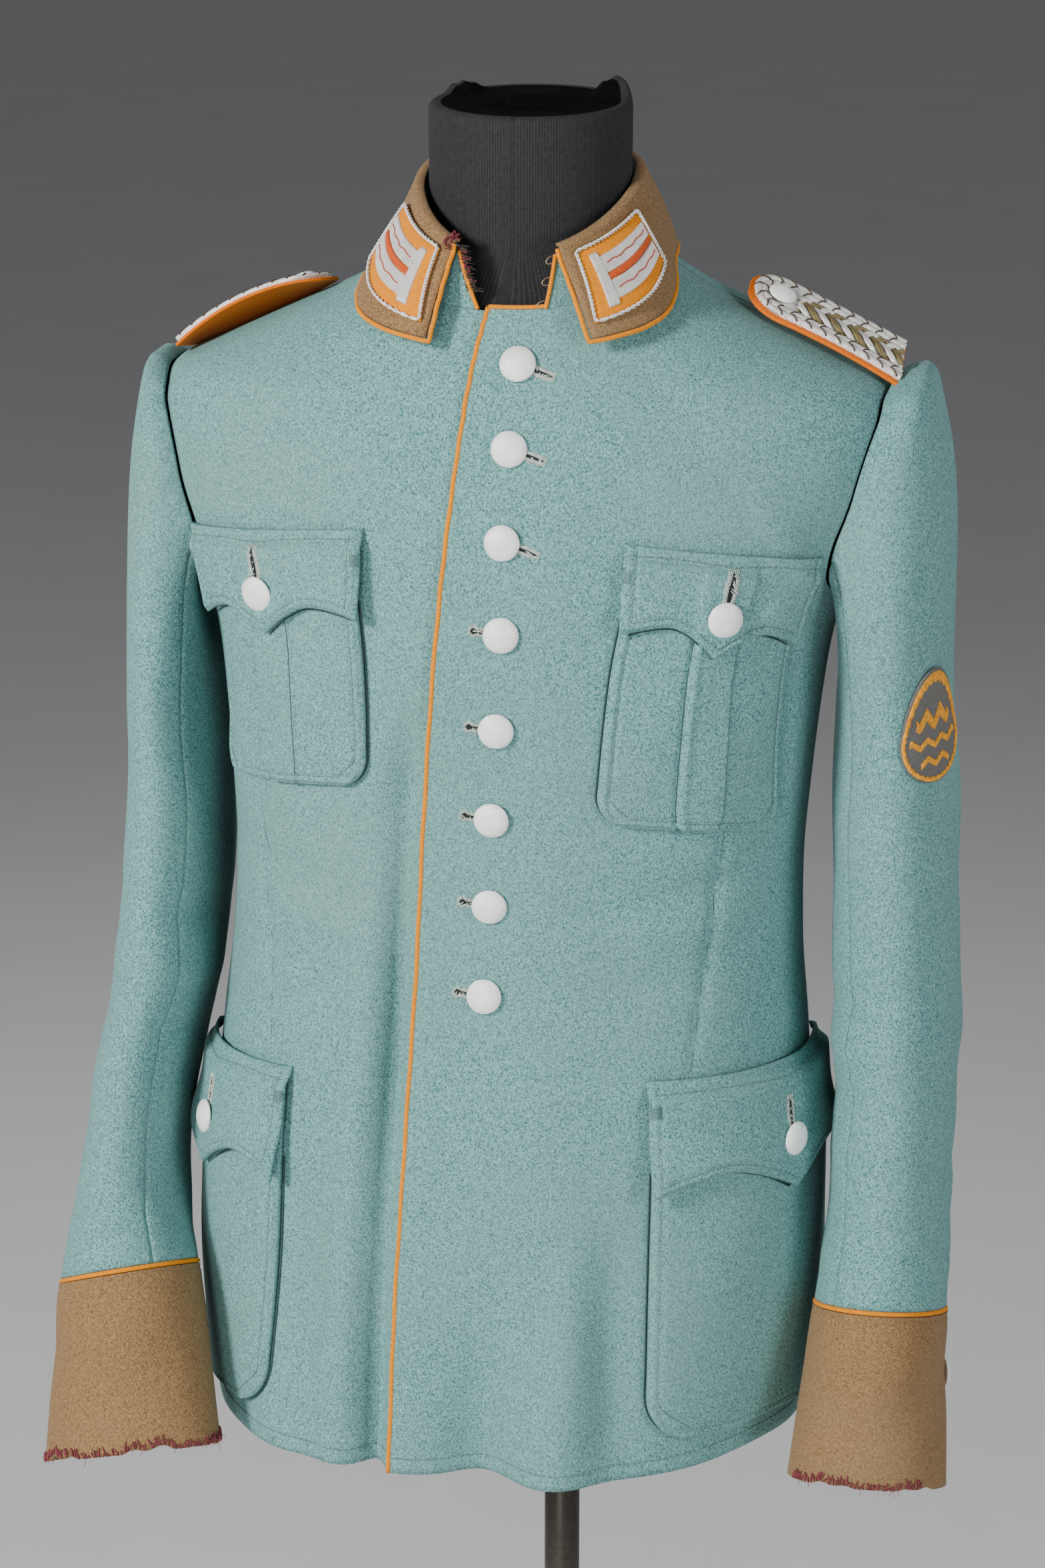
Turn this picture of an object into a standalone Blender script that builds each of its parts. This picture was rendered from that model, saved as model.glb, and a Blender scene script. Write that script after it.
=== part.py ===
"""Wool uniform tunic on a limbless dress form with a steel pole and a round base.

Metres, Z up. The front faces -Y and the wearer's left is +X. The origin is the centre of
the base's underside, on the floor below the pole. Each cloth piece is a wall of even
thickness: an outer surface worked out by a formula, and an inner one moved in along its
normals. Neighbours that are sewn together keep a seam gap.
"""
import bmesh
import bpy
import numpy as np

for old in list(bpy.data.objects):
    bpy.data.objects.remove(old, do_unlink=True)


def columns(names, rows):
    """A short table as one array for each named column."""
    return dict(zip(names, np.array(rows, float).T))


# Cloth and seams
CLOTH = 0.0020
CUFF_CLOTH = 0.0030
SEAM = 0.0003
PIPING = 0.0015
LAP = 0.0030

# Where the tunic hangs, seen from the pole's axis
PLACE = (-0.030, -0.020, 0.0)

# The trunk: its centre line leans to the wearer's left above the hip
LEAN = 0.0225
LEAN_FROM = 0.80
BULGE = 2.25
HEM = 0.690
ARMPIT = 1.222
SHOULDER_TIP = 1.345
TRUNK = columns(("height", "half_width", "front", "back"), (
    (0.660, 0.193, 0.156, 0.142),
    (0.750, 0.192, 0.152, 0.139),
    (0.820, 0.190, 0.148, 0.134),
    (0.880, 0.188, 0.143, 0.127),
    (0.940, 0.183, 0.137, 0.119),
    (1.000, 0.177, 0.130, 0.110),
    (1.050, 0.1755, 0.127, 0.108),
    (1.100, 0.178, 0.127, 0.113),
    (1.150, 0.182, 0.130, 0.121),
    (1.190, 0.187, 0.132, 0.127),
    (1.240, 0.203, 0.130, 0.129),
    (1.290, 0.221, 0.123, 0.125),
    (1.325, 0.226, 0.116, 0.117),
    (1.345, 0.215, 0.112, 0.110),
    (1.360, 0.186, 0.107, 0.103),
    (1.380, 0.143, 0.099, 0.092),
    (1.400, 0.101, 0.089, 0.080),
    (1.415, 0.080, 0.080, 0.071),
    (1.430, 0.074, 0.072, 0.064),
    (1.450, 0.070, 0.064, 0.058)))

# Soft folds that open towards the hem: where, how wide, how far out, and where they start
FOLDS = columns(("angle", "spread", "out", "top"), (
    (3.0, 7.0, -0.018, 0.86),
    (16.0, 8.0, 0.012, 0.90),
    (-36.0, 10.0, 0.008, 0.84),
    (-70.0, 14.0, -0.006, 0.86),
    (58.0, 14.0, -0.005, 0.84),
    (128.0, 12.0, 0.010, 1.00),
    (152.0, 10.0, -0.009, 1.02),
    (-124.0, 12.0, 0.011, 1.00),
    (-150.0, 10.0, -0.008, 1.02),
    (180.0, 9.0, 0.008, 1.00),
    (-180.0, 9.0, 0.008, 1.00)))

# Line of the piped front edge, measured from the leaning centre line
FRONT_EDGE = columns(("height", "across"), (
    (0.690, -0.0463),
    (0.780, -0.0452),
    (0.880, -0.0421),
    (0.995, -0.0386),
    (1.097, -0.0360),
    (1.203, -0.0301),
    (1.3065, -0.0225),
    (1.3645, -0.0159),
    (1.3984, -0.0095)))
UNDERLAP_EDGE = 0.022
LAP_SHARE = 0.30
NECK_SHARE = 0.56

# The armhole, from under the arm up to the shoulder: reach is a share of the half width
ARMHOLE = columns(("share", "reach", "height"), (
    (0.00, 1.000, 1.222),
    (0.10, 0.958, 1.2265),
    (0.22, 0.918, 1.240),
    (0.40, 0.903, 1.264),
    (0.56, 0.904, 1.287),
    (0.70, 0.910, 1.306),
    (0.82, 0.925, 1.323),
    (0.92, 0.953, 1.336),
    (1.00, 1.000, 1.345)))

# Rows and columns of the body panels: the first columns share the lap
BODY_V = np.concatenate([np.linspace(0, 1, 10), 1 + np.linspace(0, 1, 8)[1:]])
FRONT_U = np.concatenate([np.linspace(0, LAP_SHARE, 5), np.linspace(LAP_SHARE, 1, 9)[1:]])
BACK_U = np.concatenate([np.linspace(0, LAP_SHARE, 3), np.linspace(LAP_SHARE, 1, 7)[1:]])
SIDE_GAP = SEAM / 2

# Sleeves, one row for each level section: height and place of its middle, half sizes, and
# how much its plane rises towards the front and towards the body
SLEEVE_COLUMNS = ("height", "x", "y", "half_width", "half_depth", "tip_front", "tip_body")
SLEEVES = {
    1: columns(SLEEVE_COLUMNS, (
        (1.150, 0.2340, 0.004, 0.0355, 0.0810, 0.00, 0.00),
        (1.060, 0.2375, 0.000, 0.0380, 0.0770, 0.03, 0.00),
        (0.960, 0.2415, -0.012, 0.0385, 0.0725, 0.10, 0.00),
        (0.880, 0.2435, -0.028, 0.0370, 0.0680, 0.20, 0.00),
        (0.820, 0.2425, -0.044, 0.0385, 0.0610, 0.30, 0.00),
        (0.780, 0.2405, -0.056, 0.0405, 0.0570, 0.34, 0.00),
        (0.677, 0.2375, -0.088, 0.0480, 0.0470, 0.36, 0.00))),
    -1: columns(SLEEVE_COLUMNS, (
        (1.150, -0.2075, 0.004, 0.0275, 0.0830, 0.00, 0.00),
        (1.060, -0.2080, -0.002, 0.0285, 0.0785, 0.05, 0.00),
        (0.960, -0.2160, -0.018, 0.0300, 0.0745, 0.14, 0.02),
        (0.880, -0.2275, -0.047, 0.0285, 0.0680, 0.26, 0.07),
        (0.820, -0.2290, -0.073, 0.0345, 0.0590, 0.36, 0.16),
        (0.785, -0.2245, -0.100, 0.0425, 0.0500, 0.42, 0.25),
        (0.680, -0.2150, -0.138, 0.0550, 0.0370, 0.44, 0.20)))}
ROPE = {1: 0.010, -1: 0.005}
HEAD_OUT = {1: 0.60, -1: 0.30}
CUFF_ROW = 5
SLEEVE_END = 6
FRONT_SEAM = 0.36
BACK_SEAM = 0.72
SLEEVE_CLEAR = 0.0007
UNDERARM_CLEAR = 0.0024
CUFF_STEP = 0.029

# Collar: the fold's ring round the neck, measured from the leaning centre line
FOLD_HALF_WIDTH = 0.0632
FOLD_MIDDLE_Y = -0.018
FOLD_FRONT = 0.075
FOLD_BACK = 0.068
ROLL = 0.0048
# Angles in degrees at which the collar ends in front, on the wearer's right and left
STAND_ENDS = (6.5, 10.0)
FOLD_ENDS = (28.0, 26.0)
FALL_ENDS = (14.6, 21.0)
COLLAR_PATCH = 0.0018

# Patch pockets. across and height give the top corner nearest the front edge, by the tape
# from the centre front and above the floor; slant is how far the far corner hangs lower and
# flare the share by which the bag widens on its way down
POCKET_COLUMNS = ("across", "height", "width", "drop", "slant", "depth", "flap", "corner", "flare")
POCKETS = {
    ("chest", 1): columns(POCKET_COLUMNS, ((0.080, 1.262, 0.099, 0.160, 0.006, 0.0032, 0.046, 0.018, 0.14),)),
    ("chest", -1): columns(POCKET_COLUMNS, ((0.073, 1.262, 0.111, 0.152, 0.004, 0.0032, 0.046, 0.018, 0.0),)),
    ("skirt", 1): columns(POCKET_COLUMNS, ((0.108, 0.936, 0.186, 0.222, 0.010, 0.0065, 0.060, 0.030, 0.0),)),
    ("skirt", -1): columns(POCKET_COLUMNS, ((0.128, 0.930, 0.132, 0.218, 0.010, 0.0048, 0.060, 0.030, 0.0),))}
PLEAT_HALF = 0.145
PLEAT_STEP = 0.035
PLEAT_LIFT = 0.0014
POCKET_CLEAR = 0.0020
FLAP_CLOTH = 0.0024
FLAP_OVERHANG = 0.003
BAG_BELOW_FLAP_TOP = 0.022

# Buttons
BUTTON_PROFILE = ((0.72, 0.00), (1.00, 0.12), (0.88, 0.36), (0.42, 0.50))
FRONT_BUTTON = 0.0105
BOARD_BUTTON = 0.0075
CUFF_BUTTON = 0.0085
BUTTON_GAP = 0.0006
FRONT_BUTTONS = columns(("across", "height"), (
    (0.0107, 1.3653),
    (0.0089, 1.3194),
    (0.0077, 1.2673),
    (0.0088, 1.2146),
    (0.0070, 1.1577),
    (0.0051, 1.1029),
    (0.0048, 1.0498),
    (0.0033, 0.9942)))

# Shoulder boards: felt underlay and braid, as stiff strips on the shoulder's ridge
BOARD_HALF = 0.0225
BOARD_FELT = 0.0018
BOARD_BRAID = 0.0036
BOARDS = {
    1: {"inner": (0.138, 0.000), "outer": (0.229, -0.002), "roll": 22.0, "arch": 0.003, "seat": 0.0034},
    -1: {"inner": (-0.105, 0.002), "outer": (-0.198, 0.000), "roll": -9.0, "arch": 0.009, "seat": -0.0001}}

# Oval patch on the left sleeve: middle and half size, as turns round it and rows down it
PATCH_TURN = 0.125
PATCH_ROW = 0.10
PATCH_HALF_TURN = 0.085
PATCH_HALF_ROW = 0.28
PATCH_GAP = 0.0009
PATCH_FELT = 0.0015

# The dress form, its pole and base
FORM_BOTTOM = 0.745
FORM_GAP = 0.0009
NECK_RADIUS = (0.0595, 0.0520)
NECK_MIDDLE_Y = -0.016
NECK_TOP = 1.508
POLE_RADIUS = 0.0115
BOSS = columns(("radius", "height"), (
    (0.170, 0.000),
    (0.170, 0.008),
    (0.167, 0.011),
    (0.060, 0.014),
    (0.030, 0.020),
    (0.024, 0.045),
    (0.022, 0.047)))
FORM_ROWS = columns(("height", "inside"), (
    (0.745, 0.016),
    (0.760, 0.012),
    (0.850, 0.013),
    (0.950, 0.010),
    (1.050, 0.007),
    (1.130, 0.009),
    (1.200, 0.011),
    (1.260, 0.012),
    (1.300, 0.010),
    (1.330, 0.006),
    (1.345, 0.0029),
    (1.358, 0.0012),
    (1.370, 0.0012),
    (1.382, 0.0016),
    (1.394, 0.0026),
    (1.405, 0.005)))


def smooth(t, xs, ys):
    """Monotone cubic through a table's rows, level beyond its ends."""
    step = np.diff(xs)
    rate = np.diff(ys) / step
    both = rate[1:] * rate[:-1]
    tangent = np.zeros_like(ys)
    tangent[1:-1] = np.where(both > 0, 2 * both / (rate[1:] + rate[:-1] + 1e-30), 0)
    tangent[0] = rate[0]
    tangent[-1] = rate[-1]
    t = np.clip(t, xs[0], xs[-1])
    i = np.clip(np.searchsorted(xs, t) - 1, 0, len(xs) - 2)
    s = (t - xs[i]) / step[i]
    start = (1 + 2 * s) * (1 - s) ** 2 * ys[i] + s * (1 - s) ** 2 * step[i] * tangent[i]
    end = s * s * (3 - 2 * s) * ys[i + 1] + s * s * (s - 1) * step[i] * tangent[i + 1]
    return start + end


def ease(t):
    """Smooth step from 0 to 1 as t goes from 0 to 1."""
    t = np.clip(t, 0, 1)
    return t * t * (3 - 2 * t)


def size(column, height):
    """One of the trunk's sizes at a height."""
    return smooth(height, TRUNK["height"], TRUNK[column])


def slope(column, height):
    """How fast one of the trunk's sizes grows with height."""
    step = 0.0005
    return (size(column, height + step) - size(column, height - step)) / (2 * step)


def drape(angle, height):
    """How far the hem's folds carry the cloth out, at an angle in degrees round the trunk."""
    out = np.zeros(np.broadcast(angle, height).shape)
    for k in range(len(FOLDS["angle"])):
        wave = np.exp(-((angle - FOLDS["angle"][k]) / FOLDS["spread"][k]) ** 2)
        top = FOLDS["top"][k]
        out = out + FOLDS["out"][k] * wave * ease((top - height) / (top - HEM)) ** 1.5
    return out


def trunk(across, height, face, lift=0.0, folds=True):
    """Point and outward normal on the trunk's outer surface.

    across is the distance from the leaning centre line, face is -1 in front and +1 behind.
    Each level section is the superellipse |across/a|^n + |y/b|^n = 1. The folds and lift
    carry the point along the normal.
    """
    across, height, face = np.broadcast_arrays(across, height, face)
    a = size("half_width", height)
    b = np.where(face < 0, size("front", height), size("back", height))
    grow_a = slope("half_width", height)
    grow_b = np.where(face < 0, slope("front", height), slope("back", height))
    reach = np.clip(np.abs(across) / a, 0, 1)
    depth = (1 - reach ** BULGE) ** (1 / BULGE)
    nx = np.sign(across) * reach ** (BULGE - 1) / a
    ny = face * depth ** (BULGE - 1) / b
    nz = -(reach ** BULGE * grow_a / a + depth ** BULGE * grow_b / b) - nx * LEAN
    normal = np.stack([nx, ny, nz], axis=-1)
    normal = normal / np.linalg.norm(normal, axis=-1, keepdims=True)
    x = np.sign(across) * reach * a + LEAN * (height - LEAN_FROM)
    point = np.stack([x, face * b * depth, height], axis=-1)
    angle = np.degrees(np.arctan2(np.sign(across) * reach, -face * depth))
    move = lift + (drape(angle, height) if folds else 0.0)
    return point + normal * np.broadcast_to(move, height.shape)[..., None], normal


def across_at(angle, height):
    """Distance from the centre line at an angle in radians round the trunk."""
    sine = np.sin(angle)
    return size("half_width", height) * np.sign(sine) * np.abs(sine) ** (2 / BULGE)


def angle_at(across, height):
    """Angle in radians at which the section is that far from the centre line."""
    reach = np.clip(np.abs(across) / size("half_width", height), 0, 1)
    return np.sign(across) * np.arcsin(reach ** (BULGE / 2))


def neckline(angle):
    """Height of the neck seam at an angle in radians: low in front, high behind."""
    cosine = np.cos(angle)
    in_front = 1.427 - 0.011 * cosine - 0.022 * cosine ** 2
    return np.where(cosine > 0, in_front, 1.427 - 0.009 * cosine)


def front_edge(height):
    """Distance of the piped edge from the centre line."""
    return smooth(height, FRONT_EDGE["height"], FRONT_EDGE["across"])


def relief(side, across, height):
    """How a front differs from the trunk: the left one laps over, the right one sinks beside it."""
    if side > 0:
        return LAP * (1 - ease((across - 0.030) / 0.055))
    beside = front_edge(height) - 0.012
    sunk = np.exp(-((across - beside) / 0.016) ** 2)
    hidden = ease((across - beside) / 0.012)
    return -0.005 * sunk * ease((1.12 - height) / 0.20) - 0.0010 * hidden


def front_point(side, across, height, lift=0.0, face=-1):
    """Point and normal on a front, with its lap or hollow."""
    own = np.where(np.asarray(face) < 0, relief(side, across, height), 0.0)
    return trunk(across, height, face, lift + own)


def armhole(share):
    """Reach and height of the armhole at a share of the way up from under the arm."""
    reach = smooth(share, ARMHOLE["share"], ARMHOLE["reach"])
    height = smooth(share, ARMHOLE["share"], ARMHOLE["height"])
    return reach, height


def body_grid(side, face, first, second, u, v):
    """Distance from the centre line and height over the grid of a body panel.

    u runs from the panel's centre edge to the side, v from the hem (0) over the armpit's
    level (1) to the neck and shoulder seam (2). first and second give, for a height, where
    the panel starts and where its even columns start, both towards the panel's own side.
    Below the armpit each row is level. Above it the grid is a blend of its four border
    curves: the armpit's row, the neck and shoulder seam, the centre edge and the armhole.
    """
    def row(share, height):
        lap = np.clip(share / LAP_SHARE, 0, 1)
        inner = first(height) + (second(height) - first(height)) * lap
        start = angle_at(second(height), height)
        turn = start + (np.pi / 2 - start) * (share - LAP_SHARE) / (1 - LAP_SHARE)
        return np.where(share <= LAP_SHARE, inner, across_at(np.maximum(turn, start), height))

    u = np.asarray(u)[None, :]
    v = np.asarray(v)[:, None]
    low = HEM + (ARMPIT - HEM) * np.clip(v, 0, 1) + 0 * u
    across_low = row(u, low)

    seam_level = 1.40
    turn = angle_at(row(np.minimum(u / NECK_SHARE, 1.0), seam_level), seam_level)
    if face > 0:
        neck_height = neckline(np.pi - turn)
    else:
        neck_height = neckline(turn)
    neck_across = across_at(turn, neck_height)
    along = np.clip((u - NECK_SHARE) / (1 - NECK_SHARE), 0, 1)
    tip_height = neckline(np.pi / 2) + (SHOULDER_TIP - neckline(np.pi / 2)) * along
    on_neck = u <= NECK_SHARE
    top_height = np.where(on_neck, neck_height, tip_height)
    top_across = np.where(on_neck, neck_across, size("half_width", tip_height))

    rise = np.clip(v - 1, 0, 1)
    t = 1 - (1 - rise) ** 2
    armpit_across = row(u, ARMPIT + 0 * u)
    reach, arm_height = armhole(t)
    arm_across = reach * size("half_width", arm_height)
    edge_height = ARMPIT + (top_height[:, :1] - ARMPIT) * t
    edge_across = first(edge_height)
    straight_edge = (1 - t) * armpit_across[:, :1] + t * top_across[:, :1]
    straight_arm = (1 - t) * armpit_across[:, -1:] + t * top_across[:, -1:]
    straight_height = (1 - t) * ARMPIT + t * top_height[:, -1:]
    high_across = (1 - t) * armpit_across + t * top_across
    high_across = high_across + (1 - u) ** 2 * (edge_across - straight_edge)
    high_across = high_across + u ** 3 * (arm_across - straight_arm)
    high = (1 - t) * ARMPIT + t * top_height + u ** 3 * (arm_height - straight_height)
    above = v > 1
    return side * np.where(above, high_across, across_low), np.where(above, high, low)


def paint(name, colour, roughness, metallic=0.0):
    """A plain Principled material."""
    material = bpy.data.materials.new(name)
    material.use_nodes = True
    shader = material.node_tree.nodes["Principled BSDF"]
    shader.inputs["Base Color"].default_value = (*colour, 1.0)
    shader.inputs["Roughness"].default_value = roughness
    shader.inputs["Metallic"].default_value = metallic
    return material


def solid(name, points, faces, material):
    """One closed solid, faces outward, placed where the tunic hangs."""
    mesh = bpy.data.meshes.new(name)
    mesh.from_pydata(np.asarray(points).tolist(), [], faces)
    work = bmesh.new()
    work.from_mesh(mesh)
    bmesh.ops.recalc_face_normals(work, faces=work.faces)
    work.to_mesh(mesh)
    work.free()
    mesh.shade_smooth()
    mesh.set_sharp_from_angle(angle=np.radians(35))
    mesh.materials.append(material)
    body = bpy.data.objects.new(name, mesh)
    body.location = PLACE
    bpy.context.collection.objects.link(body)
    return body


def wall(name, outer, inner, material, ring=False):
    """Cloth wall between two grids of points. A ring closes round its columns."""
    rows, cols = outer.shape[:2]
    spans = cols if ring else cols - 1

    def at(layer, i, j):
        return (layer * rows + i) * cols + j % cols

    faces = []
    for i in range(rows - 1):
        for j in range(spans):
            faces.append((at(0, i, j), at(0, i, j + 1), at(0, i + 1, j + 1), at(0, i + 1, j)))
            faces.append((at(1, i, j), at(1, i + 1, j), at(1, i + 1, j + 1), at(1, i, j + 1)))
    for i in (0, rows - 1):
        for j in range(spans):
            faces.append((at(0, i, j), at(1, i, j), at(1, i, j + 1), at(0, i, j + 1)))
    if not ring:
        for j in (0, cols - 1):
            for i in range(rows - 1):
                faces.append((at(0, i, j), at(0, i + 1, j), at(1, i + 1, j), at(1, i, j)))
    points = np.concatenate([outer.reshape(-1, 3), inner.reshape(-1, 3)])
    return solid(name, points, faces, material)


def loft(name, rings, material):
    """Solid through a stack of rings, closed by a flat face at each end."""
    rows, cols = rings.shape[:2]
    faces = [tuple(range(cols)), tuple((rows - 1) * cols + j for j in range(cols))]
    for i in range(rows - 1):
        for j in range(cols):
            k = (j + 1) % cols
            faces.append((i * cols + j, i * cols + k, (i + 1) * cols + k, (i + 1) * cols + j))
    return solid(name, rings.reshape(-1, 3), faces, material)


def cord(name, path, radius, material, sides=6):
    """Round piping along a path of points, with flat ends."""
    path = np.asarray(path)
    along = np.gradient(path, axis=0)
    along = along / np.linalg.norm(along, axis=1, keepdims=True)
    out = np.cross(along, (0.31, 0.17, 0.93))
    out = out / np.linalg.norm(out, axis=1, keepdims=True)
    for i in range(1, len(out)):
        kept = out[i - 1] - along[i] * np.dot(out[i - 1], along[i])
        out[i] = kept / np.linalg.norm(kept)
    side = np.cross(along, out)
    turn = np.arange(sides)[None, :, None] * 2 * np.pi / sides
    rings = path[:, None] + radius * (np.cos(turn) * out[:, None] + np.sin(turn) * side[:, None])
    return loft(name, rings, material)


# Colours in linear values
WOOL = paint("grey green wool", (0.195, 0.330, 0.315), 0.95)
BROWN = paint("brown wool", (0.250, 0.150, 0.085), 0.95)
ORANGE = paint("orange felt", (0.750, 0.260, 0.030), 0.90)
SILVER = paint("silver braid", (0.620, 0.600, 0.560), 0.45, 0.6)
BUTTON = paint("pebbled aluminium", (0.800, 0.800, 0.780), 0.45, 0.7)
BLACK = paint("black jersey", (0.030, 0.030, 0.033), 0.90)
STEEL = paint("dark steel", (0.160, 0.140, 0.120), 0.35, 0.9)
GREY = paint("grey felt", (0.160, 0.160, 0.160), 0.95)

def left_start(height):
    """Edge of the left front, just inside its piping."""
    return front_edge(height) + PIPING + SEAM


def left_even(height):
    """Where the left front's even columns start, over the underlap's edge."""
    return UNDERLAP_EDGE + 0 * height


def right_start(height):
    """Hidden edge of the right front, mirrored to its own side."""
    return -UNDERLAP_EDGE + 0 * height


def right_even(height):
    """Where the right front comes out from under the piped edge, mirrored to its own side."""
    return -front_edge(height)


def back_start(height):
    """Centre back seam."""
    return SIDE_GAP + 0 * height


def back_even(height):
    """First even column of a back panel."""
    return 0.050 + 0 * height


def front_panel(side, u, v, lift=0.0):
    """Outer surface of a front and its normals."""
    first, second = (left_start, left_even) if side > 0 else (right_start, right_even)
    across, height = body_grid(side, -1, first, second, u, v)
    return front_point(side, across, height, lift)


def back_panel(side, u, v, lift=0.0):
    """Outer surface of a back panel and its normals."""
    across, height = body_grid(side, 1, back_start, back_even, u, v)
    return trunk(across, height, 1, lift)


def shrink(grid, normals):
    """Keep a panel's last column and last row clear of the side, shoulder and neck seams."""
    sideways = grid[:, -2] - grid[:, -1]
    sideways = sideways / np.linalg.norm(sideways, axis=1, keepdims=True)
    grid[:, -1] += sideways * SIDE_GAP
    down = grid[-2] - grid[-1]
    down = down / np.linalg.norm(down, axis=1, keepdims=True)
    grid[-1] += down * SIDE_GAP
    return grid, normals


def build_body():
    """Two fronts and two backs as cloth walls."""
    for side, word in ((1, "left"), (-1, "right")):
        outer, normal = shrink(*front_panel(side, FRONT_U, BODY_V))
        wall("front_" + word, outer, outer - CLOTH * normal, WOOL)
        outer, normal = shrink(*back_panel(side, BACK_U, BODY_V))
        wall("back_" + word, outer, outer - CLOTH * normal, WOOL)
    rows = np.linspace(0, 2, 25)
    outer, normal = front_panel(1, np.array([0.0, 0.02]), rows)
    beside = outer[:, 0] - outer[:, 1]
    beside = beside / np.linalg.norm(beside, axis=1, keepdims=True)
    path = outer[:, 0] + beside * (PIPING + SEAM) - normal[:, 0] * 0.0008
    cord("piping_front", path, PIPING, ORANGE)


def sleeve_ring(side, turn, row):
    """Point on a sleeve below its head. turn is 0 outside, a quarter in front, half inside."""
    table = SLEEVES[side]
    index = np.arange(len(table["height"]), dtype=float)
    middle = {name: smooth(row, index, table[name]) for name in SLEEVE_COLUMNS}
    angle = 2 * np.pi * turn
    out = middle["half_width"] * np.cos(angle)
    forward = middle["half_depth"] * np.sin(angle)
    height = middle["height"] + middle["tip_front"] * forward - middle["tip_body"] * out
    return np.stack([middle["x"] + side * out, middle["y"] - forward, height], axis=-1)


def sleeve_point(side, turn, row):
    """Outer surface of a sleeve. Rows -1 to 0 are its head, from the armhole to the first ring.

    The head is a Hermite curve at each turn: it leaves the armhole outward and comes down
    along the arm.
    """
    turn, row = np.broadcast_arrays(np.asarray(turn, float), np.asarray(row, float))
    half = np.mod(turn, 1.0)
    in_front = half < 0.5
    share = np.where(in_front, 1 - 2 * half, 2 * half - 1)
    reach, height = armhole(share)
    clear = SLEEVE_CLEAR + UNDERARM_CLEAR * (1 - share) ** 2
    start, normal = trunk(side * reach * size("half_width", height), height,
                          np.where(in_front, -1, 1), clear, folds=False)
    angle = 2 * np.pi * half
    first = sleeve_ring(side, half, 0 * row)
    chord = np.linalg.norm(first - start, axis=-1)
    top = (1 + np.cos(angle)) / 2
    leave = np.stack([side * (0.25 + HEAD_OUT[side] * top), -0.40 * np.sin(angle), 0.30 * top - 0.9 * (1 - top)],
                     axis=-1) * chord[..., None] * 0.9
    arrive = (sleeve_ring(side, half, 0 * row + 0.4) - first)
    arrive = arrive / np.linalg.norm(arrive, axis=-1, keepdims=True) * chord[..., None]
    t = np.clip(row + 1, 0, 1)[..., None]
    head = ((1 + 2 * t) * (1 - t) ** 2 * start + t * (1 - t) ** 2 * leave
            + t * t * (3 - 2 * t) * first + t * t * (t - 1) * arrive)
    rope = ROPE[side] * np.exp(-((t[..., 0] - 0.13) / 0.11) ** 2) * top ** 2
    head = head + rope[..., None] * np.array([side * 0.45, 0.0, 0.9])
    below = sleeve_ring(side, half, np.clip(row, 0, None))
    return np.where((row < 0)[..., None], head, below)


def sleeve_surface(side, turn, row, lift=0.0):
    """Sleeve points moved out along their normals, and those normals."""
    turn, row = np.broadcast_arrays(np.asarray(turn, float), np.asarray(row, float))
    step = 0.004
    round_arm = sleeve_point(side, turn + step, row) - sleeve_point(side, turn - step, row)
    low = np.minimum(row + step * 5, SLEEVE_END)
    high = np.maximum(row - step * 5, -1)
    down_arm = sleeve_point(side, turn, low) - sleeve_point(side, turn, high)
    normal = side * np.cross(round_arm, down_arm)
    normal = normal / np.linalg.norm(normal, axis=-1, keepdims=True)
    return sleeve_point(side, turn, row) + normal * lift, normal


def build_sleeves():
    """Top and under sleeve, cuff and cuff piping on each side."""
    rows = np.concatenate([-1 + np.array([0, 0.1, 0.22, 0.4, 0.65]), [0, 0.7, 1.4, 2.1, 2.8, 3.5, 4.3],
                           [CUFF_ROW - CUFF_STEP]])
    clear = 0.0006
    pieces = (("top", np.linspace(BACK_SEAM - 1 + clear, FRONT_SEAM - clear, 10)),
              ("under", np.linspace(FRONT_SEAM + clear, BACK_SEAM - clear, 6)))
    for side, word in ((1, "left"), (-1, "right")):
        for part, turns in pieces:
            outer, normal = sleeve_surface(side, turns[None, :], rows[:, None])
            wall("sleeve_%s_%s" % (word, part), outer, outer - CLOTH * normal, WOOL)
        turns = np.arange(18) / 18
        cuff_rows = np.linspace(CUFF_ROW + CUFF_STEP, SLEEVE_END, 4)
        outer, normal = sleeve_surface(side, turns[None, :], cuff_rows[:, None], 0.0008)
        wall("cuff_" + word, outer, outer - CUFF_CLOTH * normal, BROWN, ring=True)
        seam, normal = sleeve_surface(side, turns, CUFF_ROW, -0.0006)
        hoop("piping_cuff_" + word, seam, normal, PIPING, ORANGE)


def hoop(name, path, out, radius, material, sides=6):
    """Closed round of piping through a ring of points, out being its outward directions."""
    along = np.roll(path, -1, axis=0) - np.roll(path, 1, axis=0)
    side = np.cross(along, out)
    side = side / np.linalg.norm(side, axis=1, keepdims=True)
    turn = np.arange(sides)[:, None, None] * 2 * np.pi / sides
    rings = path[None] + radius * (np.cos(turn) * out[None] + np.sin(turn) * side[None])
    cols = len(path)
    faces = []
    for i in range(sides):
        for j in range(cols):
            k = (j + 1) % cols
            n = (i + 1) % sides
            faces.append((i * cols + j, i * cols + k, n * cols + k, n * cols + j))
    return solid(name, rings.reshape(-1, 3), faces, material)


def collar_turn(s, ends):
    """Angle round the neck for s from -1 at the wearer's right end to 1 at the left."""
    end = np.where(s < 0, ends[0], ends[1])
    return np.pi - s * (np.pi - np.radians(end))


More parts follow.
